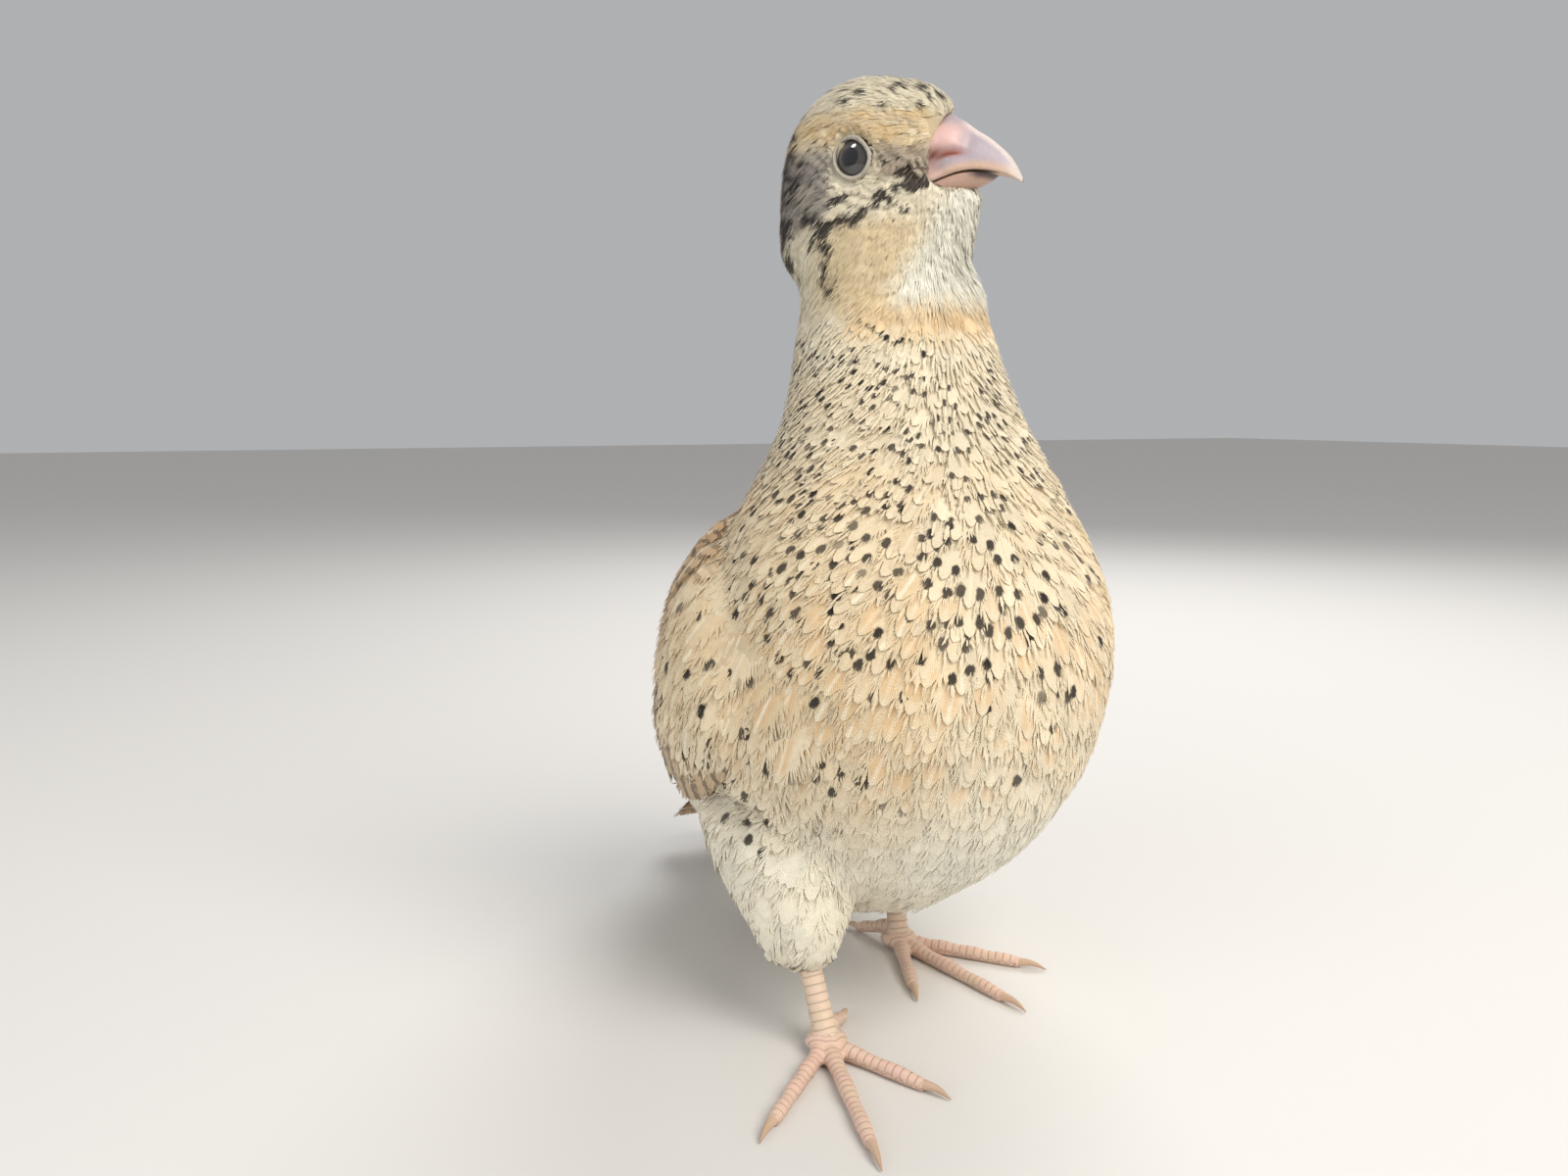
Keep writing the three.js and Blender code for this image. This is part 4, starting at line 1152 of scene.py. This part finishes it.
places, tints, marks = [], [], []
for tier, (count, start, end, half, layer, lift) in enumerate(TAIL_TIERS):
    many = round(count * (1.2 if tier == 0 else 1.8))
    for share in np.linspace(-1, 1, many):
        places.append((on_tail(share, start, end, layer + lift * (1 - abs(share))), half))
        tints.append(tone(0.78, 0.63, 0.44) * rng.normal(1, 0.05))
        marks.append((0.0, 0.3 + 0.6 * (tier == 1), 1.0 - 0.6 * (tier == 2)))
tail = feathers_in_tiers("feathers_tail", places, rng.random(len(places)), np.array(tints),
                         np.array(marks), BLADES)
tail.data.materials.append(stiff)
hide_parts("tail")
print("tail", len(places), "vanes")

# %% [markdown]
# ## Bill
# The two halves of the bill are smooth arches over and under the mouth line. The fleshy flap over the nostril
# swells from the upper half, with the slit along its lower edge.

# %% Bill
BILL = np.array([  # forward, culmen z, mouth z, half-width, chin z
    [7.6, 134.5, 126.1, 5.4, 123.8], [9.6, 136.6, 126.9, 5.1, 124.4], [11.6, 137.5, 127.7, 4.7, 125.0],
    [13.6, 136.5, 128.4, 4.1, 125.7], [15.6, 135.0, 128.7, 3.4, 126.2], [17.6, 133.7, 128.6, 2.7, 126.7],
    [19.3, 132.3, 128.3, 2.1, 127.4], [20.8, 130.8, 127.8, 1.5, 127.3], [21.9, 129.1, 127.3, 0.9, 127],
    [22.6, 127.7, 126.9, 0.35, 126.8]])
LOWER_END = 6 - 0.4 / 1.7


def heads(forward, left, z):
    """Points from arrays in the head's frame."""
    forward, left, z = np.broadcast_arrays(forward, left, z)
    return SKULL + forward[..., None] * FORWARD + left[..., None] * LEFT + z[..., None] * UP


def bill_half(upper):
    """Corners in the head's frame (forward, left, up), faces, and a share round the arch."""
    rows, columns = 64, 40
    i = np.linspace(0, 9 if upper else LOWER_END, rows)
    forward, culmen, mouth, half, chin = (c[:, None] for c in row_at(BILL, i).T)
    closing = 1.0 if upper else np.sqrt(np.clip(1 - np.linspace(0, 1, rows) ** 4, 0.004, 1))[:, None]
    angle = np.linspace(0, math.pi, columns)[None]
    width = half if upper else half * 0.93 * closing
    x = width * np.cos(angle) * (1 - 0.12 * np.sin(angle) ** 2)
    reach = (culmen - mouth) if upper else (mouth - chin) * closing
    rise = np.sin(angle) ** (0.95 if upper else 0.8) * (reach - 0.15)
    z = mouth + (1 if upper else -1) * (0.15 + rise)
    forward = forward + 0 * angle
    if upper:
        flap = np.exp(-(((forward - 11.2) / 3.1) ** 4) - ((z - 133.6) / 2.0) ** 4)
        patch = np.exp(-(((forward - 8.6) / 2.9) ** 4) - ((z - 129.8) / 1.3) ** 4)
        slit = np.exp(-(((forward - 11.6) / 2.6) ** 4) - ((z - 131.2 - 0.05 * (forward - 12)) / 0.4) ** 2)
        groove = np.exp(-(((forward - 14.6) / 0.9) ** 2) - ((z - 133.4) / 2.2) ** 2)
        out = 0.8 * flap - 0.9 * slit - 0.4 * groove - 1.1 * patch
        x = x + np.sign(x) * out * np.clip(np.abs(x) / 1.5, 0, 1)
    over = np.stack([forward, x, z], -1)
    inner = mouth + (1 if upper else -1) * (0.15 + 0.12 * np.minimum(1, half))
    flat = np.linspace(-1, 1, 9)[None, 1:-1]
    under = np.stack([forward[:, :7], flat * width, inner + 0 * flat], -1)
    ring = np.concatenate([over, under], 1)
    faces = grid_faces(rows, ring.shape[1], closed=True)
    return ring.reshape(-1, 3), faces if not upper else faces[:, ::-1], ring.shape[1]


print("bill is", BILL[-1, 0] - BILL[2, 0], "mm along")

# %% [markdown]
# ## The bill's colours
# Fleshy pink over the nostril, lilac grey along the side, a pale ridge and tip, and warm horn at the mouth. A
# dark band on the front of the lower half, just under the mouth line, is painted shade from the upper half's
# edge.

# %% Bill colours
def bill_colours(p, upper):
    f, z = p[:, 0], p[:, 2]
    n = len(p)
    mouth = np.interp(f, BILL[:, 0], BILL[:, 2])
    culmen = np.interp(f, BILL[:, 0], BILL[:, 1])
    if not upper:
        colour = np.tile(tone(0.72, 0.59, 0.53), (n, 1))
        # Painted shade: the front of the lower half, just under the mouth line where the upper half's edge
        # hangs over it, is darkened.
        dark = (smooth(f, 14.5, 16.5) * smooth(z - mouth, -1.3, -0.5))[:, None]
        return colour * (1 - dark) + tone(0.36, 0.30, 0.29) * dark
    colour = np.tile(tone(0.66, 0.61, 0.64), (n, 1))
    for share, tint in (
            (smooth(-(z - mouth), -1.9, -0.8), tone(0.78, 0.66, 0.58)),
            (smooth(z - culmen, -1.3, -0.3) * smooth(f, 13, 15), tone(0.86, 0.80, 0.78)),
            (smooth(f, 19.5, 22) * 0.7, tone(0.80, 0.76, 0.73)),
            (smooth(-f, -12.5, -9.5) * 0.9, tone(0.81, 0.68, 0.65)),
            (np.exp(-(((f - 11.0) / 3.3) ** 4) - ((z - 133.7) / 2.1) ** 4), tone(0.85, 0.70, 0.67)),
            (np.exp(-(((f - 11.6) / 2.8) ** 4) - ((z - 131.2 - 0.05 * (f - 12)) / 0.5) ** 2),
             tone(0.60, 0.30, 0.20)),
            (smooth(-f, -10.5, -8.5) * smooth(-(z - mouth), -3.5, -1), tone(0.80, 0.68, 0.61))):
        share = np.clip(share, 0, 1)[:, None]
        colour = colour * (1 - share) + tint * share
    return colour


print("colour at the flap", bill_colours(np.array([[11.0, 4, 133.7]]), True).round(2))

# %% [markdown]
# ## The bill made
# Horn is smooth with a fine grain, and a little light goes into it.

# %% Bill pieces
horn, tree, shader = new_material("bill_horn")
grain = noise(tree, 1400, 4)
tint = shade(tree, attribute(tree, "ground", "Color"), calc(tree, "MULTIPLY_ADD", grain, 0.22, 0.89))
put(tree, shader.inputs["Base Color"], tint)
shader.inputs["Roughness"].default_value = 0.42
shader.inputs["Subsurface Weight"].default_value = 0.15
shader.inputs["Subsurface Radius"].default_value = (0.0012, 0.0006, 0.0004)
bumped(tree, shader, grain, 0.25, 0.00012)

for upper, name in ((True, "bill_upper"), (False, "bill_lower")):
    p, faces, around = bill_half(upper)
    half = make_mesh(name + "_horn", heads(p[:, 0], p[:, 1], p[:, 2]), faces,
                     {"ground": bill_colours(p, upper)})
    half.data.materials.append(horn)
    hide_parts(name)
    print(half.name, len(faces), "quads")

# %% [markdown]
# ## Eyes and lids
# The eye is a ball with a dark iris and a black pupil under a clear wet surface. The lids are a ring of bare
# beaded skin from the ball's surface out to the first feathers.

# %% Eyes
def eye_frame(side):
    return eye_centre(side), side * LEFT


def ball_point(side, forward, up, radius):
    """A point of a ball round the eye's centre, from its place seen square on."""
    centre, out = eye_frame(side)
    flat = np.hypot(forward, up)
    depth = np.sqrt(np.clip(radius**2 - flat**2, 0, None))
    return centre + forward[..., None] * FORWARD + up[..., None] * UP + depth[..., None] * out


eye_glass, tree, shader = new_material("eye_wet")
ring = attribute(tree, "ring", "Fac")
rays = noise(tree, 2600, 3)
iris = mix(tree, rays, tone(0.19, 0.18, 0.17), tone(0.28, 0.26, 0.25))
iris = mix(tree, ease(tree, ring, 2.2, 2.6), iris, tone(0.10, 0.08, 0.07))
put(tree, shader.inputs["Base Color"],
    mix(tree, ease(tree, ring, 1.25, 1.45), tone(0.015, 0.015, 0.02), iris))
shader.inputs["Roughness"].default_value = 0.08
shader.inputs["Coat Weight"].default_value = 1.0
shader.inputs["Coat Roughness"].default_value = 0.02

lid_skin, tree, shader = new_material("lid_skin")
beads = tree.nodes.new("ShaderNodeTexVoronoi")
beads.inputs["Scale"].default_value = 1500
where = tree.nodes.new("ShaderNodeTexCoord")
tree.links.new(where.outputs["Object"], beads.inputs["Vector"])
put(tree, shader.inputs["Base Color"], shade(tree, attribute(tree, "ground", "Color"), calc(
    tree, "MULTIPLY_ADD", beads.outputs["Distance"], -0.35, 1.1)))
shader.inputs["Roughness"].default_value = 0.5
bumped(tree, shader, without(tree, beads.outputs["Distance"]), 0.5, 0.00015)

print("eye materials ready")

# %% [markdown]
# ## Balls and lids made
# The pupil lies behind the middle of the lids' opening. The ring of the lids is wider above and below than in
# front and behind, and its beads are part of its shape.

# %% Balls and lids
BALL = EYE_RADIUS - 0.02


def eye_ball(side, word):
    polar = np.linspace(0.001, math.pi - 0.001, 40)[:, None]
    turn = full_turn(64)[None]
    centre, out = eye_frame(side)
    forward = BALL * np.sin(polar) * np.cos(turn)
    up = BALL * np.sin(polar) * np.sin(turn)
    depth = BALL * np.cos(polar) + 0 * turn
    points = centre + forward[..., None] * FORWARD + up[..., None] * UP + depth[..., None] * out
    faces = grid_faces(40, 64, closed=True)
    eye = make_mesh(f"eye_ball_{word}", points.reshape(-1, 3), faces if side > 0 else faces[:, ::-1],
                    {"ring": (np.hypot(forward + LID_BACK, up - LID_UP) + 20 * (depth < 0)).ravel()})
    eye.data.materials.append(eye_glass)
    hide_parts(f"eye_{word}")


def lid_ring(side, word):
    q = np.linspace(0, 1, 14)[:, None]
    turn = full_turn(96)[None]
    reach = 2.38 * (1 + 0.1 * np.maximum(0, np.cos(turn)) ** 4)
    high = 2.6 * np.sin(turn)
    wider, taller = 1 + 0.24 * q, 1 + 0.34 * q
    radius = 4.28 + 0.72 * np.sin(np.clip(q * 1.9, 0, math.pi / 2)) - 0.35 * smooth(q, 0.7, 1)
    radius = radius + 0.1 * np.abs(np.sin(turn * 17)) * np.sin(math.pi * np.clip(q * 1.6, 0, 1))
    forward = (reach * np.cos(turn) - 0.16 * high) * wider - LID_BACK
    up = high * taller + LID_UP
    points = ball_point(side, forward, up, radius)
    faces = grid_faces(14, 96, closed=True)
    rim = smooth(-q, -0.22, -0.02) + 0 * turn
    tint = tone(0.72, 0.69, 0.62) * (1 - rim[..., None]) + tone(0.42, 0.42, 0.43) * rim[..., None]
    lid = make_mesh(f"lids_{word}", points.reshape(-1, 3), faces if side > 0 else faces[:, ::-1],
                    {"ground": tint.reshape(-1, 3)})
    lid.data.materials.append(lid_skin)


for side, word in ((1, "left"), (-1, "right")):
    eye_ball(side, word)
    lid_ring(side, word)
print("eyes and lids made")

# %% [markdown]
# ## Legs, toes and claws
# A foot is built from round limbs along the same paths as the solids, with low webs between the front toes,
# and rebuilt as one surface. Each corner then knows its place along its toe, from which the scutes follow.

# %% Feet
FEET = {
    "right": dict(joint=(-19.8, -21.7), shin=(-20.6, -15.2),
                  toes=[(138, 8.2), (25, 17.5), (-14, 26), (-46, 21.5)]),
    "left": dict(joint=(8.5, 6.0), shin=(9.6, 10.5), toes=[(-160, 8.2), (-22, 17.5), (10, 26), (42, 21.5)]),
}
CLAW_LENGTH = (3.2, 4.2, 5.0, 4.6)


def heading(degrees):
    a = math.radians(degrees)
    return np.array([math.sin(a), -math.cos(a), 0.0])


def toe_path(foot, number, count):
    degrees, length = foot["toes"][number]
    hind = number == 0
    t = np.linspace(0, 1, count)
    radius = 1.32 + ((0.85 if hind else 0.95) - 1.32) * t
    joints = np.sin(t * math.pi * (2, 2, 3, 4)[number]) ** 2
    radius = radius * (0.97 + 0.12 * joints) * np.where(t < 0.12, 0.8 + 1.6 * t, 1)
    z = radius * 0.86 + (2.2 * (1 - t) if hind else 0.105 * np.sin(math.pi * t))
    along = (1.5 if hind else 0) + length * t
    centre = np.array([*foot["joint"], 0]) + along[:, None] * heading(degrees)
    centre[:, 2] = z
    return centre, radius


def limb(centre, radius, corners):
    """A closed round limb along a path: points and triangles."""
    axis = unit(np.gradient(centre, axis=0))
    side = unit(np.stack([-axis[:, 1], axis[:, 0], 0 * axis[:, 0]], 1) + [1e-9, 0, 0])
    up = np.cross(side, axis)
    a = np.linspace(0, 2 * math.pi, corners, endpoint=False)[None, :, None]
    ring = centre[:, None] + radius[:, None, None] * (side[:, None] * np.cos(a) - up[:, None] * np.sin(a))
    n = len(centre)
    quads = grid_faces(n, corners, closed=True)
    tri = np.concatenate([quads[:, [0, 1, 2]], quads[:, [0, 2, 3]]])
    points = np.concatenate([ring.reshape(-1, 3), centre[:1], centre[-1:]])
    j = np.arange(corners)
    k = (j + 1) % corners
    low = np.stack([k, j, np.full(corners, n * corners)], 1)
    high = np.stack([j + (n - 1) * corners, k + (n - 1) * corners, np.full(corners, n * corners + 1)], 1)
    return points, np.concatenate([tri, low, high])


def web(foot, first, second):
    """A thin web in the fork of two toes, as a closed wedge."""
    a, b = (heading(foot["toes"][k][0]) for k in (first, second))
    root = np.array([*foot["joint"], 0.0])
    edge = [root + a * 7.0, root + unit(a + b) * 3.6, root + b * 7.0]
    top = np.array([root, *edge]) + [0, 0, 1.15]
    points = np.concatenate([top, top - [0, 0, 0.95]])
    tri = [(0, 1, 2), (0, 2, 3), (4, 6, 5), (4, 7, 6)]
    for p, q in ((0, 1), (1, 2), (2, 3), (3, 0)):
        tri += [(q, p, p + 4), (q, p + 4, q + 4)]
    return points, np.array(tri)


def claw(foot, number, centre, radius):
    """A claw that runs on from the end of its toe and bends to the floor."""
    t = np.linspace(0, 1, 14)
    end, way = centre[-1], heading(foot["toes"][number][0])
    path = end + way * (-0.7 + (CLAW_LENGTH[number] + 0.7) * t[:, None])
    path[:, 2] = end[2] + (0.35 - end[2]) * t + 0.5 * np.sin(math.pi * t)
    return limb(path, radius[-1] * np.interp(t, [0, 0.35, 0.7, 1], [0.8, 0.66, 0.42, 0.1]), 14)


print("toe lengths in mm", [toe[1] for toe in FEET["right"]["toes"]])

# %% [markdown]
# ## Scales and claws
# Scutes are rings along the toe on its upper side, and fine grains below.

# %% Leg materials
scaly, tree, shader = new_material("leg_scales")
around, along_mm, on_toe = split(tree, attribute(tree, "place"))
scute = calc(tree, "FRACT", calc(tree, "DIVIDE", along_mm, 1.25))
plate_edge = both(tree, ease(tree, scute, 0.0, 0.16), without(tree, ease(tree, scute, 0.84, 1.0)))
pads = tree.nodes.new("ShaderNodeTexVoronoi")
pads.feature = "DISTANCE_TO_EDGE"
pads.inputs["Scale"].default_value = 1350
where = tree.nodes.new("ShaderNodeTexCoord")
tree.links.new(where.outputs["Object"], pads.inputs["Vector"])
grains = ease(tree, pads.outputs["Distance"], 0.0, 0.16)
is_top = ease(tree, around, -0.05, 0.25)
height = calc(tree, "ADD", both(tree, is_top, plate_edge), both(tree, without(tree, is_top), grains))
ground = mix(tree, on_toe, tone(0.88, 0.77, 0.70), tone(0.90, 0.73, 0.69))
ground = mix(tree, noise(tree, 260, 3), ground, tone(0.86, 0.78, 0.66))
put(tree, shader.inputs["Base Color"], mix(tree, height, shade(tree, ground, 0.78), ground))
shader.inputs["Roughness"].default_value = 0.48
shader.inputs["Subsurface Weight"].default_value = 0.2
shader.inputs["Subsurface Radius"].default_value = (0.0015, 0.0006, 0.0004)
bumped(tree, shader, height, 0.6, 0.0002)

claw_horn, tree, shader = new_material("claw_horn")
put(tree, shader.inputs["Base Color"], mix(tree, attribute(tree, "tip", "Fac"), tone(0.84, 0.72, 0.62),
                                           tone(0.70, 0.58, 0.47)))
shader.inputs["Roughness"].default_value = 0.35

# %% [markdown]
# ## Feet made
# Each corner is set against the nearest point of the toe lines, which gives its place along and round a toe.

# %% Feet pieces
for word, foot in FEET.items():
    paths = [toe_path(foot, number, 28) for number in range(4)]
    parts = [limb(c, r, 16) for c, r in paths]
    low, top = np.array([*foot["joint"], 2.2]), np.array([*foot["shin"], 16.0])
    t = np.linspace(0, 1, 16)
    shank = (low + (top - low) * t[:, None], 1.7 * (1 + 0.12 * (1 - t) ** 3))
    parts.append(limb(*shank, 18))
    ball_a = np.linspace(0, math.pi, 12)
    hub = (np.stack([np.full(12, low[0]), np.full(12, low[1]), 1.75 - 1.75 * np.cos(ball_a)], 1),
           3.2 * np.sin(ball_a).clip(0.05))
    hub_points, hub_faces = limb(*hub, 20)
    parts.append((hub_points, hub_faces))
    parts += [web(foot, 1, 2), web(foot, 2, 3)]
    p, quads, _ = rebuilt(f"foot_{word}", *together(parts), 0.3, 0.5, 3)
    p[:, 2] = np.maximum(p[:, 2], 0.02)
    spine = np.concatenate([c for c, _ in paths] + [shank[0]])
    along = np.concatenate([np.linspace(0, foot["toes"][k][1], 28) for k in range(4)] + [15 * t])
    kind = np.concatenate([np.ones(112), np.zeros(16)])
    gap = np.linalg.norm(p[:, None] - spine[None], axis=2)
    nearest = gap.argmin(1)
    offset = p - spine[nearest]
    way = np.where(kind[nearest][:, None] > 0, [[0, 0, 1.0]], [[0, -1.0, 0]])
    axis = unit(np.gradient(spine, axis=0))[nearest]
    round_share = np.sum(offset * way, 1) / np.maximum(np.linalg.norm(offset, axis=1), 1e-6)
    distance = along[nearest] + np.sum(offset * axis, 1)
    piece = make_mesh(f"foot_{word}", p, quads,
                      {"place": np.stack([round_share, distance, kind[nearest]], 1)})
    piece.data.materials.append(scaly)
    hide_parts(f"shank_{word}", *(f"toe_{word}_{k}" for k in (1, 2, 3, 4)))
    points, faces = together(claw(foot, number, *path) for number, path in enumerate(paths))
    points[:, 2] = np.maximum(points[:, 2], 0.02)
    tips = np.tile(np.concatenate([np.repeat(np.linspace(0, 1, 14), 14), [0, 1]]), 4)
    claws = make_mesh(f"claws_{word}", points, faces, {"tip": tips})
    claws.data.materials.append(claw_horn)
    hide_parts(*(f"claw_{word}_{k}" for k in (1, 2, 3, 4)))
    print(piece.name, len(quads), "quads")

# %% [markdown]
# ## Floor, light and camera
# A plain pale floor and soft studio light. The camera stands where the photo's camera stood: in front of the
# bird's right side, a little above its breast, looking 8 degrees down.

# %% Stage
scene = bpy.context.scene
RIGHT_OF_VIEW = np.array([0.9063, -0.4226, 0.0])
TO_CAMERA = np.array([-0.4226, -0.9063, 0.0])


def in_metres(p):
    return Vector(((np.asarray(p, float) + SHIFT) * MM).tolist())


bpy.ops.mesh.primitive_plane_add(size=6)
floor = bpy.context.object
floor.name = "floor"
floor_material, _, floor_shader = new_material("floor_paper")
floor_shader.inputs["Base Color"].default_value = (0.72, 0.70, 0.67, 1)
floor_shader.inputs["Roughness"].default_value = 0.8
floor.data.materials.append(floor_material)


def area_light(name, place, aim, size, power, colour=(1, 1, 1)):
    data = bpy.data.lights.new(name, "AREA")
    data.shape, data.size, data.energy, data.color = "DISK", size, power, colour
    light = bpy.data.objects.new(name, data)
    scene.collection.objects.link(light)
    light.location = in_metres(place)
    light.rotation_euler = (in_metres(aim) - light.location).to_track_quat("-Z", "Y").to_euler()
    light.visible_glossy = name in ("key", "catch")
    light.visible_diffuse = name != "catch"
    return light


area_light("key", TO_CAMERA * 380 + RIGHT_OF_VIEW * 330 + [0, 0, 520], (0, -5, 80), 0.5, 3.9,
           (1, 0.96, 0.90))
area_light("fill", TO_CAMERA * 480 - RIGHT_OF_VIEW * 480 + [0, 0, 240], (0, -5, 70), 0.6, 1.5,
           (0.93, 0.96, 1))
area_light("rim", -TO_CAMERA * 460 + RIGHT_OF_VIEW * 160 + [0, 0, 480], (0, 0, 80), 0.4, 2.2)
area_light("catch", (-160, 30, 385), eye_centre(-1), 0.07, 0.25)
world = bpy.data.worlds.new("studio")
scene.world = world
world.use_nodes = True
world.node_tree.nodes["Background"].inputs["Color"].default_value = (0.86, 0.87, 0.89, 1)
world.node_tree.nodes["Background"].inputs["Strength"].default_value = 0.5

camera_data = bpy.data.cameras.new("camera")
camera_data.lens, camera_data.sensor_width, camera_data.clip_start = 29.25, 36, 0.01
camera = bpy.data.objects.new("camera", camera_data)
scene.collection.objects.link(camera)
camera.location = in_metres(TO_CAMERA * 205 - RIGHT_OF_VIEW * 15 + [0, 0, 94])
pitch = math.radians(8)
look = -TO_CAMERA * math.cos(pitch) - np.array([0, 0, math.sin(pitch)])
camera.rotation_euler = Vector(look.tolist()).to_track_quat("-Z", "Y").to_euler()
scene.camera = camera
scene.view_settings.view_transform = "Standard"
print("camera at", [round(v, 4) for v in camera.location])
